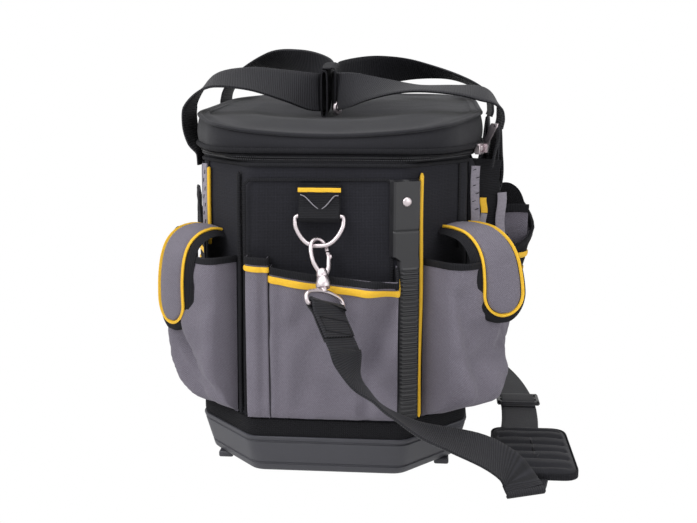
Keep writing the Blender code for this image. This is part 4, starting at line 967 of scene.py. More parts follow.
def make_flap(name, face, middle, profile):
    """A padded flap: black base, grey face panel and the yellow piping sewn round it."""
    line = even(curve_through([(o, z, 0.0) for o, z in profile], 10), 121)
    length = path_length(line)
    out_dir = outward(face)
    twist = -0.42 if face == 1 else 0.10

    def place(down, across, lift=0.0):
        at = min(1.0, max(0.0, down / length)) * (len(line) - 1)
        low = min(int(at), len(line) - 2)
        o, z, _ = line[low].lerp(line[low + 1], at - low)
        tangent = (line[min(low + 2, len(line) - 1)] - line[max(low - 1, 0)]).normalized()
        normal = Vector((-tangent.y, tangent.x))
        if normal.x < 0 and normal.y < 0:
            normal = -normal
        bend = -0.0035 * (across / FLAP_HALF) ** 2
        share = min(1.0, max(0.0, down / length))
        angle = twist * share * share * (3 - 2 * share)
        run_dir = Matrix.Rotation(angle, 3, "Z") @ wall_run(face)
        o += abs(angle) * 0.012
        base = spot(face, middle, 0.228, 0.0)
        base.z = 0.0
        return base + run_dir * across + out_dir * (o + normal.x * (lift + bend)) \
            + UP * (z + normal.y * (lift + bend))

    def half_width(down, inset):
        """Half the panel's width at a distance down, with a round tip."""
        tip = length - inset - down
        radius = FLAP_HALF - inset
        base = radius
        if down < 0.020:
            base = radius * (0.90 + 0.10 * down / 0.020)
        if tip < radius:
            base = min(base, math.sqrt(max(0.0, radius ** 2 - (radius - tip) ** 2)))
        return base

    def slab(inset, low, high, first, rows_count=56, columns=15):
        reach = length - inset
        rows = []
        for i in range(rows_count + 1):
            share = i / rows_count
            down = first + (reach - first) * (1 - (1 - share) ** 1.6)
            half = max(0.0006, half_width(down, inset))
            row = []
            for j in range(columns + 1):
                a = j / columns * 2 - 1
                row.append(place(down, a * half, low + (high - low) * (1 - abs(a) ** 6) ** 0.5
                                 * min(1.0, (1 - share) * 12 + 0.15)))
            for j in range(columns - 1, 0, -1):
                a = j / columns * 2 - 1
                row.append(place(down, a * half, low - 0.0002))
            rows.append(row)
        return rows

    base = grid_mesh(f"{name}_flap_base", slab(0.0, -0.0016, 0.0020, 0.0), closed=True, capped=True)
    base_piece = add_piece(f"{name}_flap_base", base, binding, f"{name}_flap", "black_fabric",
                           [f"{name}_flap"])
    face_panel = grid_mesh(f"{name}_flap_face", slab(0.0096, 0.0012, 0.0034, 0.0), closed=True, capped=True)
    add_piece(f"{name}_flap_face", face_panel, grey_cloth, f"{name}_flap", "grey_fabric")

    inset = 0.0082
    path, outs = [], []
    reach = length - inset
    sides = 34
    edge = [(down, half_width(down, inset)) for down in [reach * (1 - (1 - i / sides) ** 1.8)
                                                         for i in range(sides + 1)]]
    trail = edge + [(down, -half) for down, half in reversed(edge[:-1])]
    for down, across in trail:
        path.append(place(down, across, 0.0024))
        outs.append((place(down, across, 0.004) - place(down, across, 0.0)).normalized())
    path = even(path, 110)
    outs = even(outs, 110)
    add_piece(f"{name}_flap_piping", sweep_mesh(f"{name}_flap_piping", path, outs,
                                                tape_section(0.0036, 0.0026, 4, cup=0.0005)),
              yellow_tape, f"{name}_flap", "yellow_trim")


def open_mouth(a, s):
    """How much further out the filled pouch stands: its near corner gapes."""
    return 0.0190 * s ** 3 * math.exp(-((a - 0.08) / 0.20) ** 2)


def pressed_flat(a, s):
    """The empty pouch lies nearer to the wall toward the front, which is at a = 1."""
    return -0.0440 * min(1.0, s / 0.2) * min(1.0, max(0.0, a - 0.10))


def make_side_pouch(side, face, press):
    """The open pouch on a long side: domed front, coarse facing and loops edged in yellow."""
    def dome(a, d):
        return 0.1950 + 0.0470 * d * math.sin(math.pi * a)

    outer = Pocket(face, 0.0550, 0.2250, POCKET_BOTTOM, dome,
                   [(0, 0.0020), (0.04, 0.0220), (0.10, 0.0360), (0.22, 0.0460), (0.45, 0.0480),
                    (0.75, 0.0520), (1, 0.0535)],
                   creases=[((0.08, 0.62), (0.20, 0.15), 0.0050, 0.0110),
                            ((0.92, 0.60), (0.80, 0.12), 0.0050, 0.0110),
                            ((0.40, 0.30), (0.55, 0.02), 0.0030, 0.0100),
                            ((0.30, 0.80), (0.36, 0.30), 0.0025, 0.0130),
                            ((0.66, 0.75), (0.60, 0.25), 0.0030, 0.0120)],
                   lumps=0.0024, seed=5.0,
                   flare=press)
    sew_pocket(f"{side}_side_pouch_cloth", outer, grey_cloth, [f"{side}_side_pouch"], across=84, up=52,
               tape=0.0090)
    facing = [[outer.point(j / 60, 0.70 + 0.26 * i / 10, 0.0008) for j in range(14, 47)] for i in range(11)]
    add_piece(f"{side}_pouch_facing", grid_mesh(f"{side}_pouch_facing", facing, thickness=0.0008), coarse,
              "bag",
              "black_fabric")
    for i, (height, first,
            last) in enumerate(((0.186, 0.14, 0.86), (0.170, 0.16, 0.84), (0.154, 0.18, 0.82))):
        shares = [first + (last - first) * k / 40 for k in range(41)]
        path, outs = [], []
        for t in shares:
            top = outer.point(t, 1.0).z
            level = (height - POCKET_BOTTOM) / (top - POCKET_BOTTOM)
            path.append(outer.point(t, level, 0.0016))
            outs.append(outer.normal(t, level))
        add_piece(f"{side}_pouch_strip_{i}", sweep_mesh(f"{side}_pouch_strip_{i}", path, outs,
                                                        tape_section(0.0060, 0.0014, 3, cup=0.0004)),
                  yellow_tape, "bag", "yellow_trim")


PIPING_TOP = 0.2765


def make_trim():
    """The ribbed moulding on the corner, its rivet, and the yellow piping beside it."""
    half_width, _, across, _ = body_sizes(POCKET_BOTTOM)
    wall = 2 * (half_width - across)
    low, high, rib_low, rib_high, pitch = 0.0592, 0.2720, 0.064, 0.196, 0.0036
    steps = 400
    rows = []
    shares = [i / 16 for i in range(17)]
    facing = (outward(0) + outward(1)).normalized()
    for i in range(steps + 1):
        z = low + (high - low) * i / steps
        rib = 0.0
        if rib_low < z < rib_high:
            rib = 0.0011 * (0.5 + 0.5 * math.tanh(2.6 * math.sin(2 * math.pi * (z - rib_low) / pitch)))
        wide = min(1.0, max(0.0, (z - 0.2020) / 0.0040))
        seam = 0.0009 * math.exp(-((z - 0.2280) / 0.0008) ** 2)
        end_fade = min(1.0, (z - low) / 0.002 + 0.2, (high - z) / 0.002 + 0.2)
        vertex = spot(0, wall, z, 0.0)
        row = []
        for share in shares:
            left = -0.0075 - 0.0070 * wide
            reach = left + share * (0.0155 - left)
            face, along = (0, wall + reach) if reach < 0 else (1, reach)
            edge = min(1.0, share / 0.08, (1 - share) / 0.08)
            middle = 1.0 if 0.14 < share < 0.86 else 0.0
            foot = spot(face, along, z, 0.0006)
            lift = 0.0022 - (foot - vertex).dot(facing) + rib * middle - seam
            row.append(foot + facing * lift * (0.12 + 0.88 * edge) * end_fade)
        rows.append(row)
    add_piece("front_moulded_strip", grid_mesh("front_moulded_strip", rows, thickness=0.0006), black_abs,
              "bag", "black_plastic", ["front_corner_strip"], sharp=30)

    centre = spot(0, wall, 0.2530, 0.0) + facing * 0.0016
    bm = bmesh.new()
    bmesh.ops.create_uvsphere(bm, u_segments=28, v_segments=14, radius=0.0042)
    bmesh.ops.scale(bm, verts=bm.verts, vec=(1, 1, 0.45))
    bmesh.ops.bisect_plane(bm, geom=list(bm.verts) + list(bm.edges) + list(bm.faces),
                           plane_co=(0, 0, -0.0002),
                           plane_no=(0, 0, -1), clear_outer=True)
    bmesh.ops.holes_fill(bm, edges=[e for e in bm.edges if len(e.link_faces) == 1])
    bmesh.ops.transform(bm, verts=bm.verts, matrix=Matrix.Translation(centre + facing * 0.0008)
                        @ facing.to_track_quat("Z", "Y").to_matrix().to_4x4())
    add_piece("front_rivet_head", bm_mesh("front_rivet_head", bm), nickel, "bag", "nickel", ["front_rivet"])

    lines = (("front_right_piping_line", 1, 0.0175, POCKET_BOTTOM, yellow_tape, "front_piping_right"),
             ("front_left_welt", 7, chamfer_place(7, 0.0145), POCKET_BOTTOM, binding, "front_piping_left"),
             ("front_left_piping_line", 7, 0.0145, 0.2050, yellow_tape, None))
    for name, face, along, low, finish, node in lines:
        heights = [low + (PIPING_TOP - low) * i / 70 for i in range(71)]
        path = [spot(face, along + 0.0006 * math.sin(z * 45), z, 0.0019) for z in heights]
        outs = [outward(face)] * len(path)
        rows_section = round_section(0.0021, 12, 0.8)
        add_piece(name, tapered(sweep_mesh(name, path, outs, rows_section), path), finish, "bag",
                  "yellow_trim" if finish is yellow_tape else "black_fabric", [node] if node else ())
    heights = [0.2130 + (0.2790 - 0.2130) * i / 20 for i in range(21)]
    tape_piece("front_left_grey_tape", [spot(7, 0.0058, z, 0.0014) for z in heights], [outward(7)] * 21,
               "bag",
               width=0.0086, thickness=0.0012, finish=grey_tape, slot="grey_fabric")
    bm = bmesh.new()
    for i in range(8):
        add_stitch(bm, spot(7, 0.0070 if i % 2 else 0.0046, 0.2180 + 0.0076 * i, 0.0022),
                   Vector((0.7, 0.5, 0.5)),
                   outward(7), 0.0036)
    add_piece("front_left_grey_tape_stitches", bm_mesh("front_left_grey_tape_stitches", bm), binding, "bag",
              "black_fabric")
    dots = [spot(1, 0.0150, rib_low + pitch * i, 0.0014) for i in range(58)]
    stitches("front_strip_stitches", dots, UP, 0.0009, outward(1))


def tapered(mesh, path):
    """Round off the ends of a swept line over its own thickness."""
    ends = (path[0], path[-1])
    for v in mesh.vertices:
        for end, near in ((ends[0], path[1]), (ends[1], path[-2])):
            gap = abs((v.co - end).dot((near - end).normalized()))
            if (v.co - end).length < 0.006 and gap < 0.0008:
                v.co = end + (v.co - end) * 0.45
    return mesh


def stitches(name, places, along, length, out):
    """A row of stitches in pale thread."""
    bm = bmesh.new()
    for place in places:
        add_stitch(bm, place, along, out, length)
    bmesh.ops.bevel(bm, geom=list(bm.edges), offset=0.00012, segments=1, affect="EDGES")
    return add_piece(name, bm_mesh(name, bm), thread, "bag", "black_fabric")


THREAD_WIDTH = 0.0006
THREAD_HEIGHT = 0.0005
RING_X = -0.0063
RING_BAR_OUT = 0.0058
RING_BAR_Z = 0.240
RING_WIRE = 0.0020
RING_HALF = 0.0197
RING_DROP = 0.025
RING_LEAN_DEGREES = 17
HOOK_WIRE = 0.0019
EYE_WIRE = 0.0018
EYE_TOP = 0.0404
EYE_TALL = 0.0130
EYE_HALF = 0.0215
STRAP_BAR = EYE_TOP + EYE_TALL + EYE_WIRE
STRAP_START = 0.0280
HOOK_TURN_DEGREES = 46
EYE_TURN_DEGREES = 57
STRAP_LEAN = Vector((0.30, 0.0, 0.0))


class ClipFrame:
    """Places on the snap hook: s across it, drop down its length, off out of its face."""

    def __init__(self, turn_degrees):
        out = outward(0)
        lean = math.radians(RING_LEAN_DEGREES)
        self.bottom = front(RING_X, RING_BAR_Z, 0.0) + out * (RING_BAR_OUT + RING_DROP * math.sin(lean))
        self.bottom.z -= RING_DROP * math.cos(lean)
        self.lean = lean
        self.down = (Vector((0.0097, 0, -0.050)) + out * 0.031).normalized()
        turn = math.radians(turn_degrees)
        flat = Vector((math.cos(turn), 0, 0)) - out * math.sin(turn)
        self.side = (flat - self.down * flat.dot(self.down)).normalized()
        self.depth = self.down.cross(self.side)

    def ring(self, x, drop):
        return front(RING_X + x, RING_BAR_Z, 0.0) + outward(0) * (RING_BAR_OUT + drop * math.sin(self.lean)) \
            - UP * drop * math.cos(self.lean)

    def at(self, s, drop, off=0.0):
        return self.bottom + self.side * s + self.down * drop + self.depth * off


def wire_piece(name, points, radius, body, replaces, closed=False):
    """Bent nickel-plated wire through points."""
    steps = 6
    if closed:
        count = len(points)
        wrapped = [points[i % count] for i in range(-3, count + 3)]
        path = curve_through(wrapped, steps)[3 * steps:(3 + count) * steps]
    else:
        path = curve_through(points, steps)
    middle = sum(path, Vector()) / len(path)
    normal = Vector()
    for a, b in zip(path, path[1:]):
        normal += (a - middle).cross(b - middle)
    normal.normalize()
    mesh = sweep_mesh(name, path, [normal] * len(path), round_section(radius, 14), closed=closed)
    return add_piece(name, mesh, nickel, body, "nickel", replaces, sharp=0)


def turned_mesh(name, profile, place, axis, sides=32):
    """A turned piece: (radius, height) pairs spun round an axis."""
    bm = bmesh.new()
    frame_at = Matrix.Translation(place) @ axis.to_track_quat("Z", "Y").to_matrix().to_4x4()
    verts = [bm.verts.new((r, 0, z)) for r, z in profile]
    edges = [bm.edges.new(pair) for pair in zip(verts, verts[1:])]
    bmesh.ops.spin(bm, geom=verts + edges, cent=(0, 0, 0), axis=(0, 0, 1), angle=2 * math.pi, steps=sides)
    bmesh.ops.remove_doubles(bm, verts=bm.verts, dist=WELD)
    bmesh.ops.recalc_face_normals(bm, faces=bm.faces)
    bmesh.ops.transform(bm, verts=bm.verts, matrix=frame_at)
    return bm_mesh(name, bm)


def tape_piece(name, path, outs, body, replaces=(), width=WEB_WIDTH, thickness=WEB_THICKNESS,
               finish=webbing, slot="webbing", cup=0.0):
    """Webbing along a path; outs point out of its face."""
    mesh = sweep_mesh(name, path, outs, tape_section(width, thickness, 8, cup))
    return add_piece(name, mesh, finish, body, slot, replaces)


def make_clip():
    """Webbing tab, D-ring, snap hook with its gate, swivel eye and the strap's sewn end."""
    clip = ClipFrame(HOOK_TURN_DEGREES)
    loop = RING_WIRE + 0.0004 + WEB_THICKNESS / 2
    profile = [(0.0015, 0.2680), (0.0015, 0.2560), (0.0017, RING_BAR_Z + loop * 2)]
    for degrees in range(180, 361, 15):
        angle = math.radians(degrees)
        profile.append((RING_BAR_OUT + loop * math.cos(angle), RING_BAR_Z + loop * math.sin(angle)))
    profile += [(0.0056, RING_BAR_Z + loop * 2), (0.0048, 0.2520), (0.0046, 0.2665)]
    path = [front(RING_X, z, out) for out, z in profile]
    path = curve_through(path, 3)
    outs = []
    for i in range(len(path)):
        tangent = tangent_at(path, i)
        outs.append(Vector((1, 0, 0)).cross(tangent).normalized())
    tape_piece("front_tab_webbing", path, outs, "bag", ["front_ring_tab"], width=0.0365, finish=binding)
    bar = [front(RING_X - 0.0185 + 0.037 * i / 12, 0.2630, 0.0062 + 0.0004 * math.sin(i * 1.3))
           for i in range(13)]
    tape_piece("front_tab_yellow_bar", bar, [outward(0)] * 13, "bag", width=0.0042, thickness=0.0014,
               finish=yellow_tape, slot="yellow_trim")
    # The V where the tab folds round the ring: its pale line, in the thread's colour, is a painted highlight
    # of the fold, not stitching
    vee = [front(RING_X + x, z, 0.0066) for x, z in ((-0.0165, 0.2590), (-0.0120, 0.2570), (-0.0050, 0.2500),
                                                     (0.0005, 0.2465), (0.0060, 0.2500), (0.0125, 0.2575),
                                                     (0.0165, 0.2585))]
    vee = curve_through(vee, 5)
    seam_line("front_tab_fold", vee, [outward(0)] * len(vee), finish=thread, width=0.0011)

    ring = [(-1, 0), (-0.5, 0), (0.5, 0), (1, 0), (1.06, 0.2), (1, 0.42), (0.8, 0.7), (0.55, 0.9),
            (0.25, 1.0),
            (-0.25, 1.0), (-0.55, 0.9), (-0.8, 0.7), (-1, 0.42), (-1.06, 0.2)]
    wire_piece("front_ring_wire", [clip.ring(x * RING_HALF, z * RING_DROP) for x, z in ring], RING_WIRE,
               "front_clip",
               ["front_d_ring"], closed=True)

    hook = [(0.0, 0.0290), (-0.0030, 0.0238), (-0.0072, 0.0165), (-0.0087, 0.0070), (-0.0076, -0.0006),
            (-0.0044, -0.0046), (0.0, -0.0061), (0.0044, -0.0046), (0.0076, -0.0002), (0.0084, 0.0042)]
    wire_piece("front_hook_wire", [clip.at(s, z) for s, z in hook], HOOK_WIRE, "front_hook", ["front_hook"])
    barrel = turned_mesh("front_hook_barrel",
                         [(0.0, -0.0112), (0.0034, -0.0112), (0.0046, -0.0100), (0.0050, -0.0060),
                          (0.0046, -0.0040),
                          (0.0052, -0.0030), (0.0062, 0.0010), (0.0064, 0.0040), (0.0056, 0.0058),
                          (0.0, 0.0062)],
                         clip.at(0.0, 0.0330), clip.down)
    add_piece("front_hook_barrel", barrel, nickel, "front_hook", "nickel")
    gate = [(0.0088, 0.0050), (0.0096, 0.0085), (0.0090, 0.0130), (0.0076, 0.0200), (0.0038, 0.0268)]
    gate_path = curve_through([clip.at(s, z) for s, z in gate], 6)
    gate_mesh = sweep_mesh("front_gate_lever", gate_path, [clip.depth] * len(gate_path),
                           round_section(0.0022, 12, 0.55))
    add_piece("front_gate_lever", gate_mesh, nickel, "front_gate", "nickel", ["front_gate"], sharp=0)
    thumb = turned_mesh("front_gate_thumb",
                        [(0.0, -0.0010), (0.0020, -0.0009), (0.0026, 0.0), (0.0022, 0.0010),
                                             (0.0, 0.0012)], clip.at(0.0104, 0.0092), clip.side, 20)
    add_piece("front_gate_thumb", thumb, nickel, "front_gate", "nickel")

    clip = ClipFrame(EYE_TURN_DEGREES)
    eye = [(-0.3, 0.0), (0.0, -0.02), (0.3, 0.0), (0.80, 0.20), (0.99, 0.50), (0.97, 0.92), (0.80, 1.0),
           (0.3, 1.0),
           (-0.3, 1.0), (-0.80, 1.0), (-0.97, 0.92), (-0.99, 0.50), (-0.80, 0.20)]
    wire_piece("front_eye_wire", [clip.at(a * EYE_HALF, EYE_TOP + b * EYE_TALL + EYE_WIRE) for a, b in eye],
               EYE_WIRE,
               "front_clip", ["front_swivel_eye"], closed=True)
    post = turned_mesh("front_eye_post", [(0.0, 0.0), (0.0030, 0.0), (0.0030, 0.0040), (0.0, 0.0040)],
                       clip.at(0.0, 0.0386), clip.down, 20)
    add_piece("front_eye_post", post, nickel, "front_clip", "nickel")

    bar = STRAP_BAR
    loop = EYE_WIRE + 0.0004 + WEB_THICKNESS / 2
    layer = WEB_THICKNESS / 2 + 0.0001
    profile = [(-layer, bar + 0.0300), (-layer, bar + 0.0180), (-layer, bar + loop * 2.2)]
    for degrees in range(180, -1, -20):
        angle = math.radians(degrees)
        profile.append((loop * math.cos(angle), bar - loop * math.sin(angle)))
    profile += [(layer, bar + loop * 2.2), (layer, bar + 0.0160), (layer, bar + 0.0270)]
    path = curve_through([clip.at(0.0, z, off) + STRAP_LEAN * max(0.0, z - bar) for off, z in profile], 3)
    outs = []
    for i in range(len(path)):
        tangent = tangent_at(path, i)
        outs.append(tangent.cross(clip.side).normalized())
    tape_piece("front_strap_end_webbing", path, outs, "front_clip", ["front_strap_end"])
    bm = bmesh.new()
    for drop in (0.0120, 0.0240):
        for i in range(15):
            place = clip.at(-0.0155 + 0.031 * i / 14, bar + drop, layer + 0.0013) + STRAP_LEAN * drop
            add_stitch(bm, place, clip.side, clip.depth, 0.0015)
    for s in (-0.0155, 0.0155):
        for i in range(6):
            drop = 0.0130 + 0.0110 * i / 5
            place = clip.at(s, bar + drop, layer + 0.0013) + STRAP_LEAN * drop
            add_stitch(bm, place, clip.down + STRAP_LEAN, clip.depth, 0.0015)
    add_piece("front_strap_end_stitches", bm_mesh("front_strap_end_stitches", bm), binding, "front_clip",
              "black_fabric")
    return clip


def add_stitch(bm, place, along, out, length):
    """One stitch, laid along a direction on a face."""
    along = (along - out * along.dot(out)).normalized()
    turn = turned_to(along, out.cross(along).normalized(), out)
    add_box(bm, (length, THREAD_WIDTH, THREAD_HEIGHT), place, turn)


HANDLE_Y = 0.088
GRIP_Z = 0.3470
GRIP_TILT = 0.16
GRIP_NEAR = -0.030
HANDLE_SPLAY = 0.36
# How far the webbing of a leg turns out of its wall, for the right (1) and the left side (-1).
# More on the left pushes the webbing's edge through the wall lining.
LEG_SPLAY = {1: 0.50, -1: 0.16}
GRIP_X = -0.0145
GRIP_SPLIT = 0.0040
RIGHT_FOLD = [(0.2440, 0.1370), (0.2520, 0.1440), (0.2660, 0.1480), (0.2860, 0.1495), (0.3000, 0.1505)]
LEFT_FOLD = [(0.2450, None), (0.2560, None), (0.2660, -0.1285)]


def make_handles():
    """Two webbing handles: legs sewn to the sides, twisted runs over the lid and the grip between."""
    # x, y, height of the near and the far leg, how far each has twisted from lying across to standing
    right = [(0.1515, 0.088, 0.3100, 0.3123, 0.0, 0.0), (0.1530, 0.088, 0.3200, 0.3190, 0.02, 0.0),
             (0.1500, 0.088, 0.3310, 0.3320, 0.10, 0.02), (0.1360, 0.088, 0.3410, 0.3450, 0.22, 0.05),
             (0.1080, 0.088, 0.3450, 0.3560, 0.12, 0.12), (0.0700, 0.083, 0.3460, 0.3615, 0.08, 0.34),
             (0.0330, 0.068, 0.3450, 0.3615, 0.32, 0.62), (0.0060, 0.052, 0.3430, 0.3570, 0.72, 0.92)]
    left = [(-0.1300, 0.088, 0.2743, 0.2743, 0.0, 0.0), (-0.1315, 0.088, 0.2850, 0.2850, 0.0, 0.0),
            (-0.1400, 0.088, 0.2950, 0.2950, 0.0, 0.0), (-0.1448, 0.088, 0.3120, 0.3160, 0.0, 0.0),
            (-0.1420, 0.088, 0.3330, 0.3400, 0.06, 0.0), (-0.1210, 0.088, 0.3525, 0.3610, 0.22, 0.08),
            (-0.0880, 0.083, 0.3550, 0.3720, 0.36, 0.32), (-0.0540, 0.068, 0.3480, 0.3680, 0.56, 0.62),
            (-0.0310, 0.052, 0.3420, 0.3600, 0.86, 0.92)]
    for line, hand in ((right, 1), (left, -1)):
        for y in (0.034, 0.012, 0.0):
            lean = GRIP_TILT * y
            line.append((GRIP_X + hand * GRIP_SPLIT, y, GRIP_Z - lean, GRIP_Z + lean, 1.0, 1.0))
    for side, points, fold in (("right", right, RIGHT_FOLD), ("left", left, LEFT_FOLD)):
        hand = 1 if side == "right" else -1
        near = [Vector((x, -y, z, t)) for x, y, z, _, t, _ in points]
        far = [Vector((x, y, z, 2 - t)) for x, y, _, z, _, t in reversed(points[:-1])]
        line = curve_through(near + far, 8)
        path = [Vector(p[:3]) for p in line]
        outs = []
        for i, p in enumerate(line):
            angle = p[3] * math.pi / 2
            rise = min(1.0, max(0.0, (abs(p[0]) - 0.10) / 0.05)) if p[2] < 0.33 else 1.0
            lying = max(0.0, 1 - 2.2 * min(p[3], 2 - p[3]))
            splay = hand * HANDLE_SPLAY * (0.3 + 0.7 * (1 - rise)) * lying * (1 if p[1] > 0 else -1)
            width = Vector((splay, math.cos(angle), math.sin(angle)))
            tangent = tangent_at(path, i).normalized()
            outs.append(width.cross(tangent).normalized())
        tape_piece(f"handle_{side}_webbing", path, outs, f"handle_{side}", [f"handle_{side}"], cup=0.0004)
        for place, y in (("front", -HANDLE_Y), ("rear", HANDLE_Y)):
            leg = []
            for z, x in [(0.2300, None), (0.2360, None)] + fold + [(points[0][1], points[0][0])]:
                if x is None:
                    x = hand * (body_sizes(z)[0] + 0.0016)
                leg.append(Vector((x, y, z)))
            line = curve_through(leg, 8)
            outs = []
            for i in range(len(line)):
                tangent = tangent_at(line, i)
                up_share = min(1.0, i / (len(line) - 1) * 1.15)
                splay = LEG_SPLAY[hand] * math.sin(math.pi * up_share) * (1 if y > 0 else -1)
                outs.append(tangent.cross(Vector((-splay, -hand, 0))).normalized())
            name = f"handle_leg_{side}_{place}_webbing"
            tape_piece(name, line, outs, "bag", [f"handle_leg_{side}_{place}"])
            patch = [front_side(hand, y, z, 0.0034) for z in (0.2330, 0.2365, 0.2400)]
            tape_piece(f"handle_{side}_{place}_bar_tack", patch, [Vector((hand, 0, 0))] * 3, "bag",
                       width=0.0370,
                       thickness=0.0008, finish=binding, slot="black_fabric")


def front_side(hand, y, z, out):
    """A point on a long side wall by its y; hand is 1 for the right side and -1 for the left."""
    return Vector((hand * (body_sizes(z)[0] + out), y, z))


def make_grip():
    """The sleeve on the left grip, its flap over both grips and the snap stud."""
    half = WEB_THICKNESS / 2 + 0.0009 + 0.0016
    centre = GRIP_X - GRIP_SPLIT
    tall = WEB_WIDTH / 2 + 0.0009 + 0.0036
    rows = []
    for i in range(13):
        y = GRIP_NEAR - 0.0190 + 0.0380 * i / 12
        middle = GRIP_Z + GRIP_TILT * y
        row = []
        for outer in (True, False):
            reach = 0.0 if outer else 0.0015
            ring = []
            for k in range(24):
                angle = 2 * math.pi * k / 24
                c, s = math.cos(angle), math.sin(angle)
                square = 0.55
                ring.append(Vector((centre + math.copysign(abs(c) ** square, c) * (half - reach), y,
                                    middle + math.copysign(abs(s) ** square, s) * (tall - reach))))
            row.append(ring)
        rows.append(row)
    outer = [row[0] for row in rows]
    inner = [row[1] for row in reversed(rows)]
    add_piece("grip_sleeve", ring_mesh("grip_sleeve", outer + inner), binding, "handle_left", "black_fabric",
              ["grip_wrap"])

    right = GRIP_X + GRIP_SPLIT + half
    middle = GRIP_Z + GRIP_TILT * GRIP_NEAR
    top = middle + tall + 0.0003
    outline = [(centre - half + 0.0006, top - 0.0010), (centre - half + 0.0030, top + 0.0008),
               ((centre + right) / 2, top + 0.0012), (right - 0.0030, top + 0.0008),
               (right - 0.0009, top - 0.0030), (right - 0.0008, middle + 0.0080),
               (right - 0.0008, middle - 0.0060), (right - 0.0008, middle - 0.0190)]
    fine = curve_through([(x, GRIP_NEAR, z) for x, z in outline], 5)
    outs = []
    for i in range(len(fine)):
        tangent = tangent_at(fine, i)
        outs.append(Vector((0, 1, GRIP_TILT)).cross(tangent).normalized())
    flap = tape_piece("grip_flap", fine, outs, "handle_left", ["wrap_flap"], width=0.0355, thickness=0.0015,
                      finish=binding, slot="black_fabric")
    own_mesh(flap)
    stud = turned_mesh("grip_snap_stud",
                       [(0.0, -0.0008), (0.0064, -0.0008), (0.0069, 0.0006), (0.0058, 0.0022),
                                          (0.0036, 0.0026), (0.0030, 0.0040), (0.0, 0.0043)],
                       Vector((right + 0.0006, GRIP_NEAR - 0.0125, middle - 0.0165)), Vector((1, -0.55, 0)),
                       28)
    stud = add_piece("grip_snap_stud", stud, nickel, "handle_left", "nickel")
    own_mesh(stud)


def make_slider():
    """Zip slider at the front right corner, its pull plate and the webbing tail."""
    lid = octagon(*lid_sizes())
    start, end = lid[1], lid[2]
    run = (start - end).normalized()
    out = Vector((-run.y, run.x))
    out = out if out.dot(end) > 0 else -out
    run = Vector((*run, 0.0))
    out = Vector((*out, 0.0))
    box_low, box_high = (Vector(c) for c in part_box("zip_slider"))
    middle = (box_low + box_high) / 2
    bm = bmesh.new()
    for drop, size in ((0.0, (0.0125, 0.0060, 0.0096)), (0.0008, (0.0096, 0.0092, 0.0052))):
        add_box(bm, size, middle + UP * drop, turned_to(run, out, UP))
    bmesh.ops.bevel(bm, geom=list(bm.edges), offset=0.0009, segments=3, affect="EDGES")
    add_piece("slider_body", bm_mesh("slider_body", bm), nickel, "zip_slider", "nickel", ["zip_slider"])

    foot = middle + out * 0.0042
    path = [foot - UP * 0.0030 + out * 0.0010, foot + UP * 0.0060 + out * 0.0024,
            foot + UP * 0.0140 + out * 0.0060,
            foot + UP * 0.0235 + out * 0.0100]
    path = curve_through(path, 6)
    across = (run * 0.55 + out * 0.83).normalized()
    face = across.cross(UP)
    rows = []
    for i, p in enumerate(path):
        share = i / (len(path) - 1)
        wide = 0.0036 + 0.0022 * share ** 2 - 0.0012 * max(0.0, share - 0.9) * 10
        rows.append([p + across * a * wide + face * b for a, b in
                     ((-1, -0.0006), (-0.6, -0.0009), (0.6, -0.0009), (1, -0.0006),
                      (1, 0.0006), (0.6, 0.0009), (-0.6, 0.0009), (-1, 0.0006))])
    add_piece("pull_plate", grid_mesh("pull_plate", rows, closed=True, capped=True), nickel, "zip_pull",
              "nickel", ["zip_pull"])
    tail = [path[-1] - UP * 0.0020, path[-1] + out * 0.0036 - UP * 0.0040,
            path[-1] + out * 0.0040 - UP * 0.0140,
            path[-1] + out * 0.0010 - UP * 0.0260, path[-1] - out * 0.0014 - UP * 0.0400]
    tail = curve_through(tail, 6)
    loose = tape_piece("pull_tail_webbing", tail, [out] * len(tail), "zip_pull", width=0.0058,
                       thickness=0.0016,
                       finish=binding, slot="black_fabric")
    tuple(tail[0])
    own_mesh(loose)


STRAP_FRONT = [((0.0300, -0.2610, 0.1150), (0.22, 0.95, -0.12)),
               ((0.0420, -0.2570, 0.0995), (0.02, 0.95, -0.28)),
               ((0.0560, -0.2500, 0.0830), (-0.02, 0.95, -0.26)),
               ((0.0820, -0.2420, 0.0650), (0.05, 0.99, -0.06)),
               ((0.1090, -0.2330, 0.0530), (0.05, 0.97, 0.18)),
               ((0.1370, -0.2220, 0.0400), (0.12, 0.90, 0.40)),
               ((0.1560, -0.2140, 0.0265), (0.40, 0.85, 0.30)),
               ((0.1680, -0.2130, 0.0140), (0.76, 0.62, 0.06)),
               ((0.1745, -0.2225, 0.0060), (0.92, 0.39, 0.0))]
STRAP_REAR = [((0.1860, -0.0300, 0.0015), (1, 0, 0)), ((0.1870, 0.0300, 0.0015), (1, 0, 0)),
              ((0.1790, 0.1000, 0.0015), (1, 0.2, 0)), ((0.1620, 0.1700, 0.0015), (0.9, 0.4, 0)),
              ((0.1340, 0.2300, 0.0060), (0.5, 0.9, 0.1)), ((0.0800, 0.2560, 0.0300), (0.1, 0.8, 0.5)),
              ((0.0300, 0.2560, 0.0700), (0.2, 0.8, 0.5))]
STRAP_FOLD = [(0.1741, -0.2215, 0.0062), (0.1753, -0.2245, 0.0052), (0.1757, -0.2255, 0.0036),
              (0.1753, -0.2245, 0.0019), (0.1758, -0.2200, 0.0014), (0.1786, -0.2090, 0.0016),
              (0.1830, -0.1850, 0.0014)]
PAD_X, PAD_Y, PAD_WIDTH, PAD_LENGTH = 0.1895, -0.133, 0.072, 0.114
PAD_STEPS = (16, 30, 16, 30)
PAD_ARC_STEPS = 6


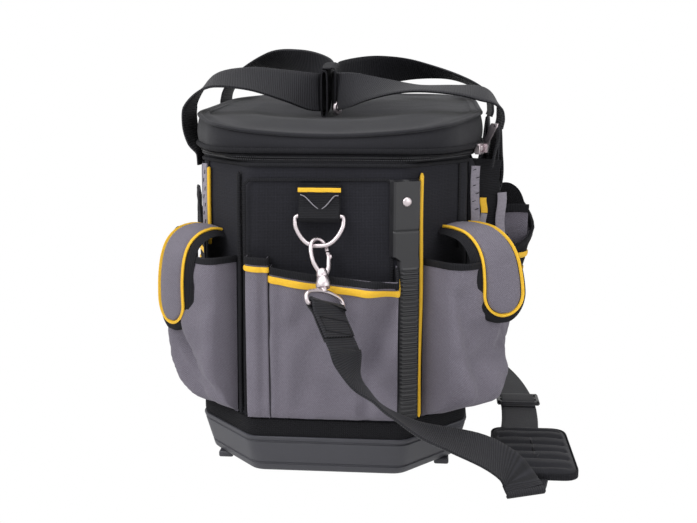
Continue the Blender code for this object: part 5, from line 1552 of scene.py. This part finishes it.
def strap_run(name, points, widths, body, replaces, blend=None):
    """A free stretch of the strap: a ribbon through points whose width turns as it goes."""
    line = curve_through([(*p, *Vector(w).normalized()) for p, w in zip(points, widths)], 8)
    path = [Vector(p[:3]) for p in line]
    outs = []
    for i, p in enumerate(line):
        tangent = tangent_at(path, i)
        outs.append(tangent.cross(Vector(p[3:])).normalized())
    mesh = sweep_mesh(name, path, outs, tape_section(WEB_WIDTH, WEB_THICKNESS, 8))
    made = add_piece(name, mesh, webbing, body, "webbing", replaces, blend=blend)
    length = path_length(path)
    return made, length


def make_strap(clip):
    """The shoulder strap: its free runs from both clips."""
    start = clip.at(0.0, STRAP_BAR + STRAP_START) + STRAP_LEAN * STRAP_START
    lead = clip.down + STRAP_LEAN
    first = [start, start + lead * 0.008, start + lead * 0.015]
    points = first + [Vector(p) for p, _ in STRAP_FRONT]
    widths = [clip.side] * 3 + [Vector(w) for _, w in STRAP_FRONT]
    run, length = strap_run("strap_front_webbing", points, widths, "bag", ["strap_front_run"],
                            blend=("front_clip", "bag", tuple(start), (0.0820, -0.2420, 0.0650)))

    turn = Matrix.Rotation(math.pi, 4, "Z")
    start, down, side = turn @ start, turn @ lead, turn @ clip.side
    pad_rear = PAD_Y + PAD_LENGTH / 2
    points = [Vector((PAD_X - 0.010, pad_rear - 0.020, 0.0015))] + [Vector(p) for p, _ in STRAP_REAR]
    points += [start + down * 0.018, start + down * 0.010, start]
    widths = [Vector((1, 0, 0))] + [Vector(w) for _, w in STRAP_REAR] + [-side] * 3
    run, length = strap_run("strap_rear_webbing", points, widths, "bag", ["strap_rear_run"],
                            blend=("rear_clip", "bag", tuple(start), (0.0800, 0.2560, 0.0300)))


def make_pad():
    """The shoulder pad: crowned foam with ribs pressed across it and a bound edge."""
    def ring(inset, z_at):
        corners = [Vector((PAD_X + sx * (PAD_WIDTH / 2 - inset), PAD_Y + sy * (PAD_LENGTH / 2 - inset)))
                   for sx, sy in ((-1, -1), (1, -1), (1, 1), (-1, 1))]
        points = rounded(corners, 0.015 - min(0.010, inset * 0.3), PAD_STEPS, PAD_ARC_STEPS)
        return [Vector((p.x, p.y, z_at(p.x, p.y))) for p in points]

    def top(x, y):
        across = abs(x - PAD_X) / (PAD_WIDTH / 2)
        along = abs(y - PAD_Y) / (PAD_LENGTH / 2)
        crown = 0.0118 - 0.0030 * across ** 4 - 0.0030 * along ** 6
        rib = 0.5 + 0.5 * math.cos(2 * math.pi * (y - PAD_Y) / 0.0178)
        inside = min(1.0, max(0.0, (0.90 - across) * 12)) * min(1.0, max(0.0, (0.95 - along) * 12))
        return crown - 0.0026 * (1 - rib) ** 3 * inside + 0.0006 * drift((x, y, 0.0), 0.02, 9.0)

    rows = [ring(0.0055, lambda x, y: 0.0004), ring(0.0015, lambda x, y: 0.0012),
            ring(0.0, lambda x, y: 0.0032),
            ring(0.0, lambda x, y: 0.0056), ring(0.0010, lambda x, y: 0.0076),
            ring(0.0030, lambda x, y: 0.0088)]
    for share in [i / 28 for i in range(29)]:
        inset = 0.0045 + share * (PAD_WIDTH / 2 - 0.0047)
        rows.append(ring(inset, top))
    mesh = grid_mesh("pad_cover", rows, closed=True, capped=True)
    cover = add_piece("pad_cover", mesh, oxford, "bag", "black_fabric", ["shoulder_pad"], sharp=0)
    edge = ring(-0.0006, lambda x, y: 0.0046)
    outs = [Vector((p.x - PAD_X, p.y - PAD_Y, 0.0)).normalized() for p in edge]
    add_piece("pad_edge_binding", sweep_mesh("pad_edge_binding", edge, outs, tape_section(0.0070, 0.0014, 4),
                                             closed=True), binding, "bag", "black_fabric")
    path = curve_through([Vector(p) for p in STRAP_FOLD], 5)
    wide = Vector((0.92, 0.39, 0.0)).normalized()
    rows = []
    for i, point in enumerate(path):
        tangent = tangent_at(path, i)
        out = -tangent.cross(wide).normalized()
        rows.append([point + wide * a + out * b for a, b in tape_section(WEB_WIDTH, WEB_THICKNESS, 8)])
    mesh = grid_mesh("strap_fold_webbing", rows, closed=True, capped=True)
    fold = add_piece("strap_fold_webbing", mesh, webbing, "bag", "webbing", ["strap_fold"])
    length = path_length(path)


def make_buckle():
    """The moulded ladder buckle on the strap's second leg."""
    middle = Vector((0.1875, 0.0200, 0.0051))
    bm = bmesh.new()
    bars = [((0.0460, 0.0052, 0.0040), (0, 0.0124)), ((0.0460, 0.0052, 0.0040), (0, -0.0124)),
            ((0.0440, 0.0060, 0.0034), (0, 0.0)), ((0.0044, 0.0300, 0.0040), (0.0208, 0)),
            ((0.0044, 0.0300, 0.0040), (-0.0208, 0))]
    for size, (x, y) in bars:
        add_box(bm, size, middle + Vector((x, y, 0)))
    bmesh.ops.bevel(bm, geom=list(bm.edges), offset=0.0011, segments=3, affect="EDGES")
    add_piece("ladder_buckle", bm_mesh("ladder_buckle", bm), black_abs, "bag", "black_plastic",
              ["slider_buckle"])
    path = [Vector((0.1875, y, z)) for y,
            z in ((0.001, 0.0030), (0.008, 0.0066), (0.020, 0.0072), (0.032, 0.0066),
                                                (0.039, 0.0030))]
    path = curve_through(path, 6)
    tape_piece("buckle_webbing_turn", path, [UP] * len(path), "bag", width=0.0360, thickness=0.0016)


def panel_mesh(name, outline, place, thickness, rows=10):
    """A flat cloth panel: an outline in its own plane, filled by rows, placed by a function."""
    count = len(outline)
    middle = sum((Vector(p) for p in outline), Vector((0, 0))) / count
    rings = []
    for i in range(rows):
        share = 1 - i / rows
        rings.append([place(*(middle + (Vector(p) - middle) * share)) for p in outline])
    rings.append([place(*(middle + (Vector(p) - middle) * 0.02)) for p in outline])
    return grid_mesh(name, rings, closed=True, thickness=thickness)


def make_side_panel():
    """The padded panel on the long side that the pouch and the handle's legs are sewn to."""
    def place(y, z, out):
        return Vector((body_sizes(z)[0] + out, y, z))

    low, high, half = 0.0620, 0.2845, 0.1290
    rows = []
    for i in range(25):
        z = low + (high - low) * i / 24
        row = []
        for j in range(49):
            t = j / 48
            y = -half + 2 * half * t
            edge = min(1.0, t / 0.045, (1 - t) / 0.045) ** 0.5
            top = min(1.0, (24 - i) / 3 + 0.10) ** 0.5
            swell = 0.0118 * edge * top * (0.92 + 0.10 * drift((y, z, 0.0), 0.05, 12.0))
            row.append(place(y, z, 0.0005 + swell))
        rows.append(row)
    add_piece("right_padded_panel", grid_mesh("right_padded_panel", rows, thickness=0.0012), ripstop, "bag",
              "black_fabric")

    heights = [0.2130 + (0.2780 - 0.2130) * i / 30 for i in range(31)]
    path = [Vector((body_sizes(z)[0] + 0.0068 + 0.0006 * math.sin(z * 90), -0.1312, z)) for z in heights]
    outs = [Vector((0.35, -0.94, 0))] * 31
    tape_piece("right_grey_tape", path, outs, "bag", width=0.0090, thickness=0.0012, finish=grey_tape,
               slot="grey_fabric")
    bm = bmesh.new()
    for i in range(9):
        z = 0.2170 + 0.0072 * i
        add_stitch(bm, Vector((body_sizes(z)[0] + 0.0068 + (0.0018 if i % 2 else -0.0012), -0.1321, z)),
                   Vector((0.94, 0.35, 0.3)), Vector((0.35, -0.94, 0)), 0.0034)
    add_piece("right_grey_tape_stitches", bm_mesh("right_grey_tape_stitches", bm), binding, "bag",
              "black_fabric")
    for name, x, low, high, wide, finish in (("right_gusset", 0.1390, 0.2050, 0.2830, 0.0280, binding),
                                             ("right_gusset_grey_tape", 0.1540, 0.2050, 0.2520, 0.0090,
                                              grey_tape)):
        path = [Vector((x + 0.0008 * math.sin(z * 160), -0.1160, z)) for z in
                [low + (high - low) * i / 16 for i in range(17)]]
        tape_piece(name, path, [Vector((0.20, -0.98, 0))] * 17, "bag", width=wide, thickness=0.0012,
                   finish=finish,
                   slot="grey_fabric" if finish is grey_tape else "black_fabric")
    for name, low, high, finish, slot in (("right_yellow_tag", 0.2340, 0.2480, yellow_tape, "yellow_trim"),
                                          ("right_pale_tag", 0.2215, 0.2335, thread, "grey_fabric")):
        path = [Vector((body_sizes(z)[0] + 0.0150 + 0.0007 * math.sin(z * 300), -0.1240, z))
                for z in [low + (high - low) * i / 8 for i in range(9)]]
        tape_piece(name, path, [Vector((0.30, -0.95, 0))] * 9, "bag", width=0.0068, thickness=0.0010,
                   finish=finish, slot=slot)


def make_pouch_dividers():
    """Inside the pouch: a tall black divider and a low grey one with its binding."""
    def across(y, lean=0.0):
        return lambda x, z: Vector((x, y + lean * (z - 0.2), z))

    back = [(0.1270, 0.1500), (0.1700, 0.1500), (0.1840, 0.1900), (0.1850, 0.2150), (0.1820, 0.2340),
            (0.1760, 0.2460), (0.1660, 0.2520), (0.1540, 0.2500), (0.1440, 0.2420), (0.1360, 0.2300),
            (0.1290, 0.2200)]
    fine = [Vector(p) for p in back[:2]] + curve_through([Vector(p) for p in back[2:]], 4)
    add_piece("right_pouch_black_divider", panel_mesh("right_pouch_black_divider", fine, across(-0.040, 0.10),
                                                      0.0014), coarse, "bag", "black_fabric")
    front_panel = [(0.1380, 0.1600), (0.1760, 0.1600), (0.1835, 0.2000), (0.1840, 0.2285), (0.1700, 0.2290),
                   (0.1560, 0.2275), (0.1440, 0.2250)]
    add_piece("right_pouch_grey_divider", panel_mesh("right_pouch_grey_divider", front_panel,
                                                     across(-0.066, 0.06), 0.0012), grey_cloth, "bag",
              "grey_fabric")
    top = [Vector((x, -0.0666 + 0.06 * (z - 0.2), z)) for x,
           z in ((0.1440, 0.2262), (0.1560, 0.2290), (0.1700, 0.2305),
                                                                 (0.1845, 0.2300))]
    top = curve_through(top, 6)
    tape_piece("right_pouch_grey_divider_binding", top, [Vector((0, -1, 0))] * len(top), "bag", width=0.0090,
               thickness=0.0026, finish=binding, slot="black_fabric")


def make_rear():
    """The rear end and the left grey tape: the front end and the right grey tape, turned by half a turn."""
    turn = Matrix.Rotation(math.pi, 4, "Z")

    def other(name):
        for old, new in (("front_right_", "rear_left_"), ("front_left_", "rear_right_"), ("front_", "rear_"),
                         ("right_", "left_")):
            if name.startswith(old):
                return new + name[len(old):]
        return name

    for made, finish, body, slot, replaced, sharp in list(made_pieces):
        if not made.name.startswith(("front_", "right_grey_tape")):
            continue
        mesh = made.data.copy()
        mesh.materials.clear()
        mesh.transform(turn)
        twin = add_piece(other(made.name), mesh, finish, other(body), slot, [other(n) for n in replaced],
                         sharp)
        made.name.endswith("flap_base")


def straight_rays(tree):
    """One for rays from the camera and for those that metal mirrors or clear plastic lets through."""
    path = add(tree, "ShaderNodeLightPath")
    mirrored = add(tree, "ShaderNodeMath",
                   {0: path.outputs["Is Camera Ray"], 1: path.outputs["Is Glossy Ray"]},
                   operation="MAXIMUM")
    return add(tree, "ShaderNodeMath", {0: mirrored.outputs[0], 1: path.outputs["Is Transmission Ray"]},
               operation="MAXIMUM").outputs[0]


def make_stage():
    """White sweep, soft light from the upper left and a white world seen by the camera."""
    bm = bmesh.new()
    bmesh.ops.create_grid(bm, x_segments=1, y_segments=1, size=30.0)
    floor_mesh = bm_mesh("studio_floor", bm)
    floor = bpy.data.objects.new("studio_floor", floor_mesh)
    bpy.context.scene.collection.objects.link(floor)
    made = bpy.data.materials.new("white_paper_floor")
    made.use_nodes = True
    tree = made.node_tree
    shader = tree.nodes["Principled BSDF"]
    shader.inputs["Base Color"].default_value = linear("#FFFFFF")
    shader.inputs["Roughness"].default_value = 1.0
    shader.inputs["Specular IOR Level"].default_value = 0.0
    white = add(tree, "ShaderNodeEmission", Strength=1.0)
    white.inputs["Color"].default_value = linear("#FFFFFF")
    mixed = add(tree, "ShaderNodeMixShader",
                {0: straight_rays(tree), 1: shader.outputs[0], 2: white.outputs[0]})
    tree.links.new(mixed.outputs[0], tree.nodes["Material Output"].inputs["Surface"])
    floor_mesh.materials.append(made)

    for name, place, size, power, colour in (
            ("window_left", (-1.7, -1.5, 2.1), 1.8, 50.0, "#FFFFFF"),
            ("soft_top", (0.2, -0.4, 2.6), 2.2, 34.0, "#FFFFFF"),
            ("fill_right", (1.9, -1.6, 0.9), 1.6, 12.0, "#FFFFFF")):
        light = bpy.data.lights.new(name, "AREA")
        light.shape = "SQUARE"
        light.size = size
        light.energy = power
        light.color = linear(colour)[:3]
        lamp = bpy.data.objects.new(name, light)
        bpy.context.scene.collection.objects.link(lamp)
        lamp.location = place
        lamp.rotation_euler = (Vector((0.0, 0.0, 0.15)) - Vector(place)).to_track_quat("-Z", "Y").to_euler()

    world = bpy.data.worlds.new("studio")
    bpy.context.scene.world = world
    world.use_nodes = True
    tree = world.node_tree
    seen = add(tree, "ShaderNodeMapRange", {"Value": straight_rays(tree)})
    seen.inputs["To Min"].default_value = 0.45
    seen.inputs["To Max"].default_value = 1.0
    background = tree.nodes["Background"]
    background.inputs["Color"].default_value = linear("#FFFFFF")
    tree.links.new(seen.outputs["Result"], background.inputs["Strength"])


def make_camera():
    """The photograph's camera."""
    data = bpy.data.cameras.new("photo_camera")
    data.sensor_width = SENSOR_WIDTH
    data.lens = FOCAL_PIXELS / IMAGE_WIDTH * SENSOR_WIDTH
    data.clip_start = 0.01
    data.clip_end = 100.0
    camera = bpy.data.objects.new("photo_camera", data)
    bpy.context.scene.collection.objects.link(camera)
    camera.location = CAMERA_PLACE
    camera.rotation_euler = (math.pi / 2 - CAMERA_PITCH, 0.0, CAMERA_YAW)
    bpy.context.scene.camera = camera


make_tray()
make_body()
make_wall_seams()
make_lid()
make_zip()
make_end_pockets()
make_corner_pockets()
make_side_pouch("right", 2, open_mouth)
make_side_pouch("left", 6, pressed_flat)
make_side_panel()
make_pouch_dividers()
make_trim()
clip = make_clip()
make_rear()
make_strap(clip)
make_handles()
make_grip()
make_slider()
make_pad()
make_buckle()
make_stage()
make_camera()
bpy.context.scene.view_settings.view_transform = "Standard"
